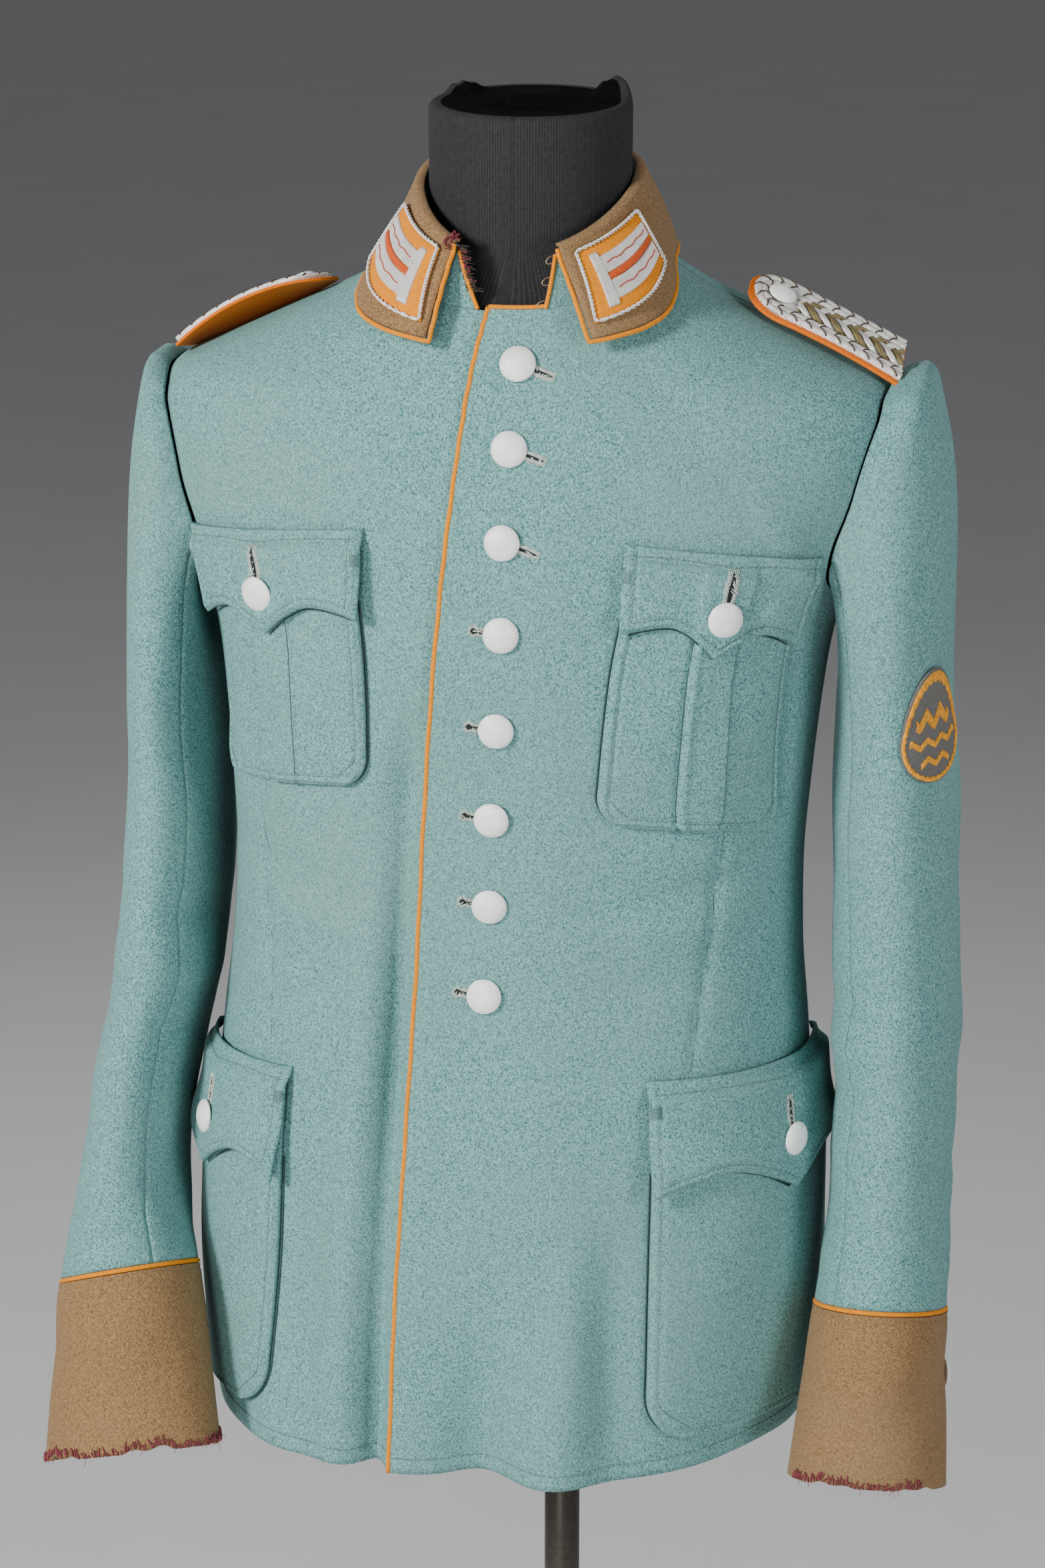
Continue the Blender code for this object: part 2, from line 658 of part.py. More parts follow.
def fold_line(s):
    """Middle of the collar's fold and the level outward direction there."""
    turn = collar_turn(s, FOLD_ENDS)
    cosine = np.cos(turn)
    height = 1.466 - 0.027 * cosine - 0.015 * cosine ** 2
    depth = np.where(cosine > 0, FOLD_FRONT, FOLD_BACK)
    x = FOLD_HALF_WIDTH * np.sin(turn) + LEAN * (height - LEAN_FROM)
    out = np.stack([np.sin(turn) / FOLD_HALF_WIDTH, -cosine / depth, 0 * turn], axis=-1)
    out = out / np.linalg.norm(out, axis=-1, keepdims=True)
    return np.stack([x, FOLD_MIDDLE_Y - depth * cosine, height], axis=-1), out


def on_neck(turn, height, lift):
    """Point of the trunk at an angle round the neck, on the lap where the left front has one."""
    turn = np.arctan2(np.sin(turn), np.cos(turn))
    across = across_at(turn, height)
    face = np.where(np.abs(turn) <= np.pi / 2, -1, 1)
    own = np.where((face < 0) & (across > -0.009), relief(1, across, height), 0.0)
    return trunk(across, height, face, lift + own, folds=False)[0]


def stand_point(s, w, lift=0.0):
    """Outer face of the collar's stand, from the neck seam (w 0) up to the fold (w 1)."""
    turn = collar_turn(s, STAND_ENDS)
    base = on_neck(turn, neckline(turn), 0.0) + np.array([0, 0, 0.0006])
    fold, out = fold_line(s)
    w = w[..., None]
    bow = 0.0015 * 4 * w * (1 - w)
    return base + (fold - base) * w + out * (bow + lift)


def fall_point(s, w, lift=0.0):
    """Outer face of the collar's fall. w up to 0.3 rolls over the fold, then goes down to its edge.

    The roll is an arc round the stand's top. Below it the face is a quadratic curve that
    starts downward and ends just above the shoulder.
    """
    s, w = np.broadcast_arrays(np.asarray(s, float), np.asarray(w, float))
    fold, out = fold_line(s)
    up = np.array([0.0, 0.0, 1.0])
    middle = fold + out * 0.0002 - up * 0.0010
    angle = np.radians(125) * (1 - np.clip(w / 0.3, 0, 1))[..., None]
    roll = middle + (ROLL + lift) * (np.cos(angle) * out + np.sin(angle) * up)
    turn = collar_turn(s, FALL_ENDS)
    cosine = np.cos(turn)
    in_front = 1.418 - 0.006 * cosine - 0.024 * cosine ** 2
    height = np.where(cosine > 0, in_front, 1.418 - 0.012 * cosine)
    raised = 0.0064 + 0.0060 * ease((np.abs(s) - 0.80) / 0.20)
    edge = on_neck(turn, height, raised)
    start = middle + ROLL * out
    bend = start + (edge - start) * 0.45 + out * 0.0020 + up * 0.0010
    t = ((w - 0.3) / 0.7)[..., None]
    down = (1 - t) ** 2 * start + 2 * t * (1 - t) * bend + t * t * edge
    face = out * 0.75 + up * 0.66
    return np.where((w <= 0.3)[..., None], roll, down + face * lift)


def surface_normal(surface, s, w, step=0.004):
    """Outward normals of a collar surface from its neighbours along both directions."""
    s, w = np.broadcast_arrays(np.asarray(s, float), np.asarray(w, float))
    along = surface(np.minimum(s + step, 1), w) - surface(np.maximum(s - step, -1), w)
    down = surface(s, np.minimum(w + step, 1)) - surface(s, np.maximum(w - step, 0))
    normal = np.cross(along, down)
    normal = normal / np.linalg.norm(normal, axis=-1, keepdims=True)
    return normal


def build_collar():
    """Stand, fall, piping along the fall's free edges and a patch near each end."""
    s = np.linspace(-1, 1, 23)[None, :]
    w = np.array([0.0, 0.5, 1.0])[:, None]
    outer = stand_point(s + 0 * w, w + 0 * s)
    normal = surface_normal(stand_point, s + 0 * w, w + 0 * s)
    level = normal * np.array([1.0, 1.0, 0.0])
    level = level / np.linalg.norm(level, axis=-1, keepdims=True)
    wall("collar_stand", outer, outer + CLOTH * level, BROWN)

    w = np.array([0.0, 0.13, 0.3, 0.53, 0.77, 1.0])[:, None]
    outer = fall_point(s, w)
    normal = surface_normal(fall_point, s, w)
    wall("collar_fall", outer, outer - CLOTH * normal, BROWN)

    out_w = 1 + (PIPING + SEAM) / 0.052
    ends = 1 + (PIPING + SEAM) / 0.190
    down = np.linspace(0.30, out_w, 6)
    around = np.linspace(-ends, ends, 25)
    s_path = np.concatenate([np.full(5, -ends), around, np.full(5, ends)])
    w_path = np.concatenate([down[:-1], np.full(25, out_w), down[-2::-1]])
    path = fall_point(s_path, w_path, -CLOTH / 2)
    cord("piping_collar", path, PIPING * 0.8, ORANGE)

    for side, word in ((1, "left"), (-1, "right")):
        s = side * np.linspace(0.955, 0.735, 6)[None, :]
        w = np.linspace(0.42, 0.90, 4)[:, None]
        slant = 0.018 * side * (0.66 - w) / 0.24
        outer = fall_point(s + slant, w, COLLAR_PATCH + SEAM * 2)
        inner = fall_point(s + slant, w, SEAM * 2)
        wall("collar_patch_" + word, outer, inner, ORANGE)


def tape_angle(distance, height):
    """Angle round the trunk that a tape from the centre front reads as a distance."""
    turn = np.linspace(0, np.pi, 361)
    across = across_at(turn, height)
    reach = np.clip(np.abs(across) / size("half_width", height), 0, 1)
    depth = (1 - reach ** BULGE) ** (1 / BULGE)
    forward = np.where(turn <= np.pi / 2, -size("front", height), size("back", height)) * depth
    length = np.hypot(np.diff(across), np.diff(forward))
    return np.interp(distance, np.concatenate([[0], np.cumsum(length)]), turn)


def on_front(side, distance, height, lift, level):
    """Point and normal over a front at a tape distance, moved out. level is where the tape lies."""
    turn = tape_angle(distance, level)
    face = np.where(turn <= np.pi / 2, -1, 1)
    return front_point(side, side * across_at(turn, height), height, lift, face)


def pocket_point(kind, side, q, drop, lift):
    """Point over a pocket: q from -1 at its front side to 1, drop below its top edge."""
    row = {name: value[0] for name, value in POCKETS[kind, side].items()}
    distance = row["across"] + row["width"] * (q + 1) / 2
    height = row["height"] - drop - row["slant"] * (q + 1) / 2
    return on_front(side, distance, height, lift, row["height"] - row["drop"] / 2)


def bag_relief(kind, side, q, drop):
    """Height of a pocket bag's face over its panel: full in the middle, pleated on the chest."""
    row = {name: value[0] for name, value in POCKETS[kind, side].items()}
    full = row["depth"] * (1 + 0.35 * (1 - q ** 2) * np.sin(np.pi * np.clip(drop / row["drop"], 0, 1)))
    pleat = PLEAT_LIFT * (1 - ease((np.abs(q) - PLEAT_HALF) / PLEAT_STEP)) if kind == "chest" else 0.0
    return full + pleat


def bag_width(kind, side, drop):
    """Share of the half width at a drop: it grows by the flare, and the bottom corners are round."""
    row = {name: value[0] for name, value in POCKETS[kind, side].items()}
    into = np.clip(drop - (row["drop"] - row["corner"]), 0, row["corner"])
    cut = row["corner"] - np.sqrt(row["corner"] ** 2 - into ** 2)
    return (1 + row["flare"] * drop / row["drop"]) - 2 * cut / row["width"]


def flap_drop(kind, q):
    """Length of a flap below its top edge: corners and a middle point with hollows between."""
    point = 0.015 * np.clip(1 - np.abs(q) / 0.5, 0, 1) ** 1.6
    ends = 0.007 * np.clip((np.abs(q) - 0.5) / 0.5, 0, 1) ** 1.6
    return point + ends


def build_pocket(kind, side, word):
    """Bag and flap of one patch pocket, both made from the front's own points, moved out."""
    row = {name: value[0] for name, value in POCKETS[kind, side].items()}
    if kind == "chest":
        pleat = np.array([PLEAT_HALF, PLEAT_HALF + PLEAT_STEP, 0.60, 1.0])
        q = np.concatenate([-pleat[::-1], [0.0], pleat])
    else:
        q = np.linspace(-1, 1, 9)
    corner = row["corner"]
    ends = row["drop"] - corner * np.array([1.0, 0.55, 0.22, 0.04])
    drops = np.concatenate([np.linspace(BAG_BELOW_FLAP_TOP, ends[0], 5)[:-1], ends])
    q_grid, drop = q[None, :], drops[:, None]
    narrowed = q_grid * bag_width(kind, side, drop)
    face = bag_relief(kind, side, q_grid, drop)
    outer = pocket_point(kind, side, narrowed, drop, POCKET_CLEAR + face)[0]
    inner = pocket_point(kind, side, narrowed, drop, POCKET_CLEAR - 0.0004 + 0 * face)[0]
    wall("pocket_%s_%s" % (kind, word), outer, inner, WOOL)

    q = np.linspace(-1, 1, 13)[None, :]
    wide = q * (1 + FLAP_OVERHANG * 2 / row["width"])
    t = np.array([0.0, 0.12, 0.32, 0.66, 1.0])[:, None]
    drop = t * (row["flap"] + flap_drop(kind, q))
    over_bag = ease((drop - 0.002) / 0.010)
    lift = POCKET_CLEAR + over_bag * (bag_relief(kind, side, q, drop) + 0.0010)
    outer = pocket_point(kind, side, wide, drop, lift + FLAP_CLOTH)[0]
    inner = pocket_point(kind, side, wide, drop, lift)[0]
    wall("flap_%s_%s" % (kind, word), outer, inner, WOOL)


def button(name, seat, normal, radius):
    """Domed button on a seat point, its axis along the cloth's normal."""
    normal = np.asarray(normal, float)
    normal = normal / np.linalg.norm(normal)
    right = np.cross((0.02, 0.03, 1.0), normal)
    right = right / np.linalg.norm(right)
    up = np.cross(normal, right)
    turn = np.arange(12)[None, :, None] * np.pi / 6
    reach = np.array([r for r, h in BUTTON_PROFILE])[:, None, None] * radius
    rise = np.array([h for r, h in BUTTON_PROFILE])[:, None, None] * radius + BUTTON_GAP
    rings = seat + rise * normal + reach * (np.cos(turn) * right + np.sin(turn) * up)
    loft(name, rings, BUTTON)


def build_buttons():
    """Eight down the front, one on each flap and one at the back of each cuff."""
    for k in range(len(FRONT_BUTTONS["height"])):
        seat, normal = front_point(1, FRONT_BUTTONS["across"][k], FRONT_BUTTONS["height"][k])
        button("button_front_%d" % (k + 1), seat, normal, FRONT_BUTTON)
    for kind in ("chest", "skirt"):
        for side, word in ((1, "left"), (-1, "right")):
            row = {name: value[0] for name, value in POCKETS[kind, side].items()}
            drop = np.array(row["flap"] * 0.80)
            lift = POCKET_CLEAR + bag_relief(kind, side, 0.0, drop) + 0.0010 + FLAP_CLOTH
            seat, normal = pocket_point(kind, side, 0.0, drop, lift)
            button("button_%s_%s" % (kind, word), seat, normal, FRONT_BUTTON)
    for side, word in ((1, "left"), (-1, "right")):
        seat, normal = sleeve_surface(side, 0.93, CUFF_ROW + 0.45, 0.0008)
        button("button_cuff_" + word, seat, normal, CUFF_BUTTON)


def ridge_height(x):
    """Height of the shoulder's ridge at a distance to the side."""
    heights = np.linspace(SHOULDER_TIP, 1.43, 60)
    lean = LEAN * (heights - LEAN_FROM)
    reach = size("half_width", heights) + np.sign(x) * lean
    return np.interp(-abs(x), -reach, heights)


def board_point(side, p, q, lift):
    """Point on a board: p from its neck end to the sleeve, q across it, forward positive."""
    board = BOARDS[side]
    inner = np.array([*board["inner"], ridge_height(board["inner"][0])])
    outer = np.array([*board["outer"], ridge_height(board["outer"][0])])
    along = outer - inner
    roll = np.radians(board["roll"])
    across = np.array([0.0, -np.cos(roll), -np.sin(roll)])
    up = np.cross(along, across) * -side
    up = up / np.linalg.norm(up)
    length = np.linalg.norm(along)
    round_end = np.clip(1 - p * length / BOARD_HALF, 0, 1)
    half = BOARD_HALF * np.sqrt(1 - 0.94 * round_end ** 2)
    arch = board["arch"] * 4 * p * (1 - p) * (1 + q) / 2
    middle = inner + along * p[..., None]
    rise = board["seat"] + lift + arch + abs(np.sin(roll)) * BOARD_HALF * 0.75
    return middle + across * (q * half)[..., None] + up * rise[..., None]


def build_boards():
    """Underlay, braid and button of each shoulder board."""
    p = np.array([0.0, 0.05, 0.12, 0.24, 0.42, 0.6, 0.8, 1.0])[:, None]
    q = np.linspace(-1, 1, 5)[None, :]
    q = q + 0 * p
    p = p + 0 * q
    for side, word in ((1, "left"), (-1, "right")):
        felt = board_point(side, p, q, BOARD_FELT + 0 * p)
        under = board_point(side, p, q, 0 * p)
        wall("board_%s_underlay" % word, felt, under, ORANGE)
        tuck = 0.03 + 0.97 * p - 0.03 * p ** 2
        low = BOARD_FELT + SEAM
        crown = BOARD_BRAID - 0.0010 * np.abs(q)
        top = board_point(side, tuck, q * 0.88, low + crown)
        bottom = board_point(side, tuck, q * 0.88, low + 0 * p)
        wall("board_%s_braid" % word, top, bottom, SILVER)
        here = np.array([0.17])
        lift = np.array([low + BOARD_BRAID + 0.0003])
        seat = board_point(side, here, 0 * here, lift)[0]
        ahead = board_point(side, here + 0.05, 0 * here, lift)[0]
        beside = board_point(side, here, 0 * here + 0.2, lift)[0]
        normal = np.cross(ahead - seat, beside - seat) * -side
        button("button_board_" + word, seat, normal, BOARD_BUTTON)


def build_sleeve_patch():
    """Oval cloth patch on the left upper sleeve."""
    u = np.linspace(-1, 1, 7)[None, :]
    v = np.linspace(-1, 1, 7)[:, None]
    around = PATCH_TURN + PATCH_HALF_TURN * u * np.sqrt(1 - v ** 2 / 2)
    along = PATCH_ROW + PATCH_HALF_ROW * v * np.sqrt(1 - u ** 2 / 2)
    outer = sleeve_surface(1, around, along, PATCH_GAP + PATCH_FELT)[0]
    inner = sleeve_surface(1, around, along, PATCH_GAP)[0]
    wall("sleeve_patch", outer, inner, GREY)


def build_form():
    """Closed torso that follows the tunic's inside, with a plain neck."""
    turn = np.arange(28) * 2 * np.pi / 28
    turn = np.arctan2(np.sin(turn), np.cos(turn))
    face = np.where(np.abs(turn) <= np.pi / 2 + 1e-6, -1, 1)
    rings = []
    for height, inside in zip(FORM_ROWS["height"], FORM_ROWS["inside"]):
        across = across_at(turn, height)
        point, normal = trunk(across, height, face, folds=False)
        point = point - normal * (CLOTH + FORM_GAP + inside)
        rings.append(point)
    for height in (1.425, 1.445, NECK_TOP - 0.002, NECK_TOP):
        radius = np.array(NECK_RADIUS) - (0.0015 if height == NECK_TOP else 0.0)
        middle = LEAN * (1.45 - LEAN_FROM)
        x = middle + radius[0] * np.sin(turn)
        y = NECK_MIDDLE_Y - radius[1] * np.cos(turn)
        rings.append(np.stack([x, y, height + 0 * x], axis=-1))
    rings = np.array(rings)
    rings[0][:, 2] = FORM_BOTTOM
    loft("form", rings, BLACK)


def build_stand():
    """Pole up into the form's underside and a round base with a low boss."""
    turn = np.arange(24) * 2 * np.pi / 24
    ring = np.stack([np.cos(turn), np.sin(turn), 0 * turn], axis=-1)
    up = np.array([0.0, 0.0, 1.0])
    top = FORM_BOTTOM - SEAM
    foot = BOSS["height"][-1] + SEAM
    pole = np.array([ring * POLE_RADIUS + up * foot, ring * POLE_RADIUS + up * top])
    loft("pole", pole - np.array(PLACE), STEEL)
    base = np.array([ring * r + up * h for r, h in zip(BOSS["radius"], BOSS["height"])])
    loft("base", base - np.array(PLACE), STEEL)


build_body()
build_sleeves()
build_collar()
for kind in ("chest", "skirt"):
    for side, word in ((1, "left"), (-1, "right")):
        build_pocket(kind, side, word)
build_buttons()
build_boards()
build_sleeve_patch()
build_form()
build_stand()
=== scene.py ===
"""Looks of a wool tunic on a limbless dress form: cloth, piping, braid, buttons, stand and studio."""
import bpy
import numpy as np
from mathutils import Matrix


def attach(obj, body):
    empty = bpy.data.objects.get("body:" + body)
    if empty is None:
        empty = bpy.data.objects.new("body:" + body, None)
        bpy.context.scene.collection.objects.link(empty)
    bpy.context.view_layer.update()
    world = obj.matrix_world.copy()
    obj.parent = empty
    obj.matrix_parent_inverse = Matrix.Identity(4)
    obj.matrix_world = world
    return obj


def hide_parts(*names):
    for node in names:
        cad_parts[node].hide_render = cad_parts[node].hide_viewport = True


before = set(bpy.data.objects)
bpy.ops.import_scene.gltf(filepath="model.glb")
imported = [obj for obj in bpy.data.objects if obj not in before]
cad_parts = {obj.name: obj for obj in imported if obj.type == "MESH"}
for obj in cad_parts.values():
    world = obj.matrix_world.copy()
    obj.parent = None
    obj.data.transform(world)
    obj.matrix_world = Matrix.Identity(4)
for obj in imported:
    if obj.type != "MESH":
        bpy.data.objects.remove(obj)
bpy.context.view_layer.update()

# The front and back panels: four pieces of grey-green melton wool, heavy and napped.
# They are sewn together at the sides, the shoulders and the centre back, and hang free
# below the waist. Each is a thin wall on the part's own form, with its creases added.
CLOTH = 0.0020
SEAM = 0.0003
PIPING = 0.0015
LAP = 0.0030
PLACE = np.array([-0.030, -0.020, 0.0])
LEAN = 0.0225
LEAN_FROM = 0.80
BULGE = 2.25
HEM = 0.690
ARMPIT = 1.222
SHOULDER_TIP = 1.345
UNDERLAP_EDGE = 0.022
LAP_SHARE = 0.30
NECK_SHARE = 0.56


def columns(names, rows):
    """A short table as one array for each named column."""
    return dict(zip(names, np.array(rows, float).T))


TRUNK = columns(("height", "half_width", "front", "back"), (
    (0.660, 0.193, 0.156, 0.142),
    (0.750, 0.192, 0.152, 0.139),
    (0.820, 0.190, 0.148, 0.134),
    (0.880, 0.188, 0.143, 0.127),
    (0.940, 0.183, 0.137, 0.119),
    (1.000, 0.177, 0.130, 0.110),
    (1.050, 0.1755, 0.127, 0.108),
    (1.100, 0.178, 0.127, 0.113),
    (1.150, 0.182, 0.130, 0.121),
    (1.190, 0.187, 0.132, 0.127),
    (1.240, 0.203, 0.130, 0.129),
    (1.290, 0.221, 0.123, 0.125),
    (1.325, 0.226, 0.116, 0.117),
    (1.345, 0.215, 0.112, 0.110),
    (1.360, 0.186, 0.107, 0.103),
    (1.380, 0.143, 0.099, 0.092),
    (1.400, 0.101, 0.089, 0.080),
    (1.415, 0.080, 0.080, 0.071),
    (1.430, 0.074, 0.072, 0.064),
    (1.450, 0.070, 0.064, 0.058)))
FOLDS = columns(("angle", "spread", "out", "top"), (
    (3.0, 7.0, -0.018, 0.86),
    (16.0, 8.0, 0.012, 0.90),
    (-36.0, 10.0, 0.008, 0.84),
    (-70.0, 14.0, -0.006, 0.86),
    (58.0, 14.0, -0.005, 0.84),
    (128.0, 12.0, 0.010, 1.00),
    (152.0, 10.0, -0.009, 1.02),
    (-124.0, 12.0, 0.011, 1.00),
    (-150.0, 10.0, -0.008, 1.02),
    (180.0, 9.0, 0.008, 1.00),
    (-180.0, 9.0, 0.008, 1.00)))
FRONT_EDGE = columns(("height", "across"), (
    (0.690, -0.0463),
    (0.780, -0.0452),
    (0.880, -0.0421),
    (0.995, -0.0386),
    (1.097, -0.0360),
    (1.203, -0.0301),
    (1.3065, -0.0225),
    (1.3645, -0.0159),
    (1.3984, -0.0095)))
ARMHOLE = columns(("share", "reach", "height"), (
    (0.00, 1.000, 1.222),
    (0.10, 0.958, 1.2265),
    (0.22, 0.918, 1.240),
    (0.40, 0.903, 1.264),
    (0.56, 0.904, 1.287),
    (0.70, 0.910, 1.306),
    (0.82, 0.925, 1.323),
    (0.92, 0.953, 1.336),
    (1.00, 1.000, 1.345)))

# Soft creases pressed into the wool by wear: from one end to the other, how wide, how far out
CREASE_COLUMNS = ("across", "height", "to_across", "to_height", "width", "out")
FRONT_CREASES = columns(CREASE_COLUMNS, (
    (-0.052, 1.000, -0.060, 0.700, 0.010, -0.0030),
    (-0.078, 0.930, -0.084, 0.700, 0.015, 0.0030),
    (-0.110, 0.860, -0.108, 0.700, 0.016, -0.0022),
    (-0.160, 1.325, -0.075, 1.352, 0.013, 0.0014),
    (-0.150, 1.285, -0.105, 1.330, 0.010, -0.0012),
    (-0.172, 1.215, -0.160, 1.120, 0.010, -0.0022),
    (-0.168, 1.060, -0.085, 1.052, 0.009, -0.0016),
    (-0.160, 1.035, -0.060, 1.024, 0.010, 0.0014),
    (-0.150, 1.000, -0.070, 0.992, 0.009, -0.0012),
    (-0.045, 1.170, -0.105, 1.055, 0.014, 0.0010),
    (0.172, 1.210, 0.160, 1.100, 0.010, -0.0024),
    (0.165, 1.062, 0.090, 1.050, 0.009, -0.0017),
    (0.158, 1.036, 0.055, 1.026, 0.010, 0.0015),
    (0.150, 1.004, 0.070, 0.996, 0.009, -0.0012),
    (0.060, 0.860, 0.064, 0.700, 0.013, 0.0026),
    (0.086, 0.840, 0.090, 0.700, 0.012, -0.0024),
    (0.030, 1.085, 0.085, 1.070, 0.006, 0.0008),
    (0.028, 1.135, 0.075, 1.128, 0.006, 0.0009),
    (0.030, 1.240, 0.072, 1.228, 0.006, 0.0008),
    (0.040, 1.340, 0.110, 1.300, 0.012, 0.0014),
    (0.070, 1.372, 0.120, 1.330, 0.010, -0.0012),
    (0.150, 1.290, 0.178, 1.245, 0.010, 0.0016),
    (0.062, 1.385, 0.100, 1.372, 0.006, 0.0012),
    (-0.062, 1.385, -0.095, 1.368, 0.006, 0.0012)))
BACK_CREASES = columns(CREASE_COLUMNS, (
    (-0.130, 1.068, -0.020, 1.058, 0.010, -0.0022),
    (0.015, 1.052, 0.140, 1.066, 0.010, -0.0024),
    (-0.110, 1.038, 0.010, 1.030, 0.011, 0.0020),
    (0.020, 1.024, 0.120, 1.040, 0.010, 0.0018),
    (-0.095, 1.000, -0.030, 0.996, 0.009, -0.0014),
    (-0.120, 1.270, -0.085, 1.130, 0.018, 0.0020),
    (0.118, 1.275, 0.086, 1.120, 0.018, 0.0022),
    (-0.170, 1.225, -0.140, 1.110, 0.011, -0.0024),
    (0.168, 1.222, 0.142, 1.105, 0.011, -0.0022),
    (-0.060, 1.375, 0.055, 1.372, 0.009, -0.0012),
    (-0.085, 0.900, -0.100, 0.700, 0.014, 0.0030),
    (0.080, 0.880, 0.098, 0.700, 0.014, 0.0026),
    (-0.150, 1.320, -0.090, 1.350, 0.010, 0.0012),
    (0.148, 1.318, 0.085, 1.352, 0.011, 0.0014)))


def smooth(t, xs, ys):
    """Monotone cubic through a table's rows, level beyond its ends."""
    step = np.diff(xs)
    rate = np.diff(ys) / step
    both = rate[1:] * rate[:-1]
    tangent = np.zeros_like(ys)
    tangent[1:-1] = np.where(both > 0, 2 * both / (rate[1:] + rate[:-1] + 1e-30), 0)
    tangent[0] = rate[0]
    tangent[-1] = rate[-1]
    t = np.clip(t, xs[0], xs[-1])
    i = np.clip(np.searchsorted(xs, t) - 1, 0, len(xs) - 2)
    s = (t - xs[i]) / step[i]
    start = (1 + 2 * s) * (1 - s) ** 2 * ys[i] + s * (1 - s) ** 2 * step[i] * tangent[i]
    end = s * s * (3 - 2 * s) * ys[i + 1] + s * s * (s - 1) * step[i] * tangent[i + 1]
    return start + end


def ease(t):
    """Smooth step from 0 to 1 as t goes from 0 to 1."""
    t = np.clip(t, 0, 1)
    return t * t * (3 - 2 * t)


def bell(distance, width):
    """Rounded hump of height 1: exp of minus the squared distance in widths."""
    return np.exp(-(distance / width) ** 2)


def unit(vectors):
    """Vectors brought to length 1."""
    return vectors / np.linalg.norm(vectors, axis=-1, keepdims=True)


def creased(across, height, table):
    """Sum of bells, each on the distance to its crease's line, with the width and depth it has."""
    out = np.zeros(np.broadcast(across, height).shape)
    for k in range(len(table["out"])):
        ax, az = table["across"][k], table["height"][k]
        bx, bz = table["to_across"][k] - ax, table["to_height"][k] - az
        share = np.clip(((across - ax) * bx + (height - az) * bz) / (bx * bx + bz * bz), 0, 1)
        distance = np.hypot(across - ax - share * bx, height - az - share * bz)
        fade = np.sin(np.pi * (0.12 + 0.76 * share))
        out = out + table["out"][k] * fade * bell(distance, table["width"][k])
    return out


def uneven(across, height):
    """Slow waves of half a millimetre that keep a hand-pressed panel from lying dead even."""
    wave = np.sin(41 * across + 23 * height + 1.3) + np.sin(31 * height - 27 * across + 0.4)
    return 0.00035 * (wave + np.sin(67 * across + 9 * height) * np.sin(15 * height + 2.0))


def size(column, height):
    """One of the trunk's sizes at a height."""
    return smooth(height, TRUNK["height"], TRUNK[column])


def slope(column, height):
    """How fast one of the trunk's sizes grows with height."""
    step = 0.0005
    return (size(column, height + step) - size(column, height - step)) / (2 * step)


def drape(angle, height):
    """How far the hem's folds carry the cloth out, at an angle in degrees round the trunk."""
    out = np.zeros(np.broadcast(angle, height).shape)
    for k in range(len(FOLDS["angle"])):
        top = FOLDS["top"][k]
        wave = bell(angle - FOLDS["angle"][k], FOLDS["spread"][k])
        out = out + FOLDS["out"][k] * wave * ease((top - height) / (top - HEM)) ** 1.5
    return out


def trunk(across, height, face, lift=0.0, folds=True):
    """Point and outward normal on the trunk: the section |across/a|^n + |y/b|^n = 1 at a height.

    across is the distance from the leaning centre line, face is -1 in front and +1 behind.
    The folds and lift carry the point along the normal.
    """
    across, height, face = np.broadcast_arrays(across, height, face)
    a = size("half_width", height)
    b = np.where(face < 0, size("front", height), size("back", height))
    grow_a = slope("half_width", height)
    grow_b = np.where(face < 0, slope("front", height), slope("back", height))
    reach = np.clip(np.abs(across) / a, 0, 1)
    depth = (1 - reach ** BULGE) ** (1 / BULGE)
    nx = np.sign(across) * reach ** (BULGE - 1) / a
    ny = face * depth ** (BULGE - 1) / b
    nz = -(reach ** BULGE * grow_a / a + depth ** BULGE * grow_b / b) - nx * LEAN
    normal = unit(np.stack([nx, ny, nz], axis=-1))
    x = np.sign(across) * reach * a + LEAN * (height - LEAN_FROM)
    point = np.stack([x, face * b * depth, height], axis=-1)
    angle = np.degrees(np.arctan2(np.sign(across) * reach, -face * depth))
    move = lift + (drape(angle, height) if folds else 0.0)
    return point + normal * np.broadcast_to(move, height.shape)[..., None], normal


def across_at(angle, height):
    """Distance from the centre line at an angle in radians round the trunk."""
    sine = np.sin(angle)
    return size("half_width", height) * np.sign(sine) * np.abs(sine) ** (2 / BULGE)


def angle_at(across, height):
    """Angle in radians at which the section is that far from the centre line."""
    reach = np.clip(np.abs(across) / size("half_width", height), 0, 1)
    return np.sign(across) * np.arcsin(reach ** (BULGE / 2))


def neckline(angle):
    """Height of the neck seam at an angle in radians: low in front, high behind."""
    cosine = np.cos(angle)
    in_front = 1.427 - 0.011 * cosine - 0.022 * cosine ** 2
    return np.where(cosine > 0, in_front, 1.427 - 0.009 * cosine)


def front_edge(height):
    """Distance of the piped edge from the centre line."""
    return smooth(height, FRONT_EDGE["height"], FRONT_EDGE["across"])


def relief(side, across, height):
    """How a front differs from the trunk: the left one laps over, the right one sinks beside it."""
    if side > 0:
        proud = 0.0022 * bell(across - front_edge(height), 0.020) * ease((1.16 - height) / 0.10)
        return LAP * (1 - ease((across - 0.030) / 0.055)) + proud
    beside = front_edge(height) - 0.013
    fades = ease((1.19 - height) / 0.09) * (0.74 + 0.26 * np.sin(24 * height + 3.6))
    sunk = 0.0125 * bell(across - beside, 0.0072) - 0.0045 * bell(across - beside + 0.020, 0.011)
    hidden = ease((across - beside - 0.006) / 0.012)
    return -sunk * fades - 0.0010 * hidden


# Chest darts, sewn from the pocket down to the waist, as lines on the fronts
DARTS = columns(CREASE_COLUMNS, (
    (-0.145, 1.097, -0.134, 0.9485, 0.0030, -0.0022),
    (0.137, 1.090, 0.124, 0.944, 0.0030, -0.0022)))


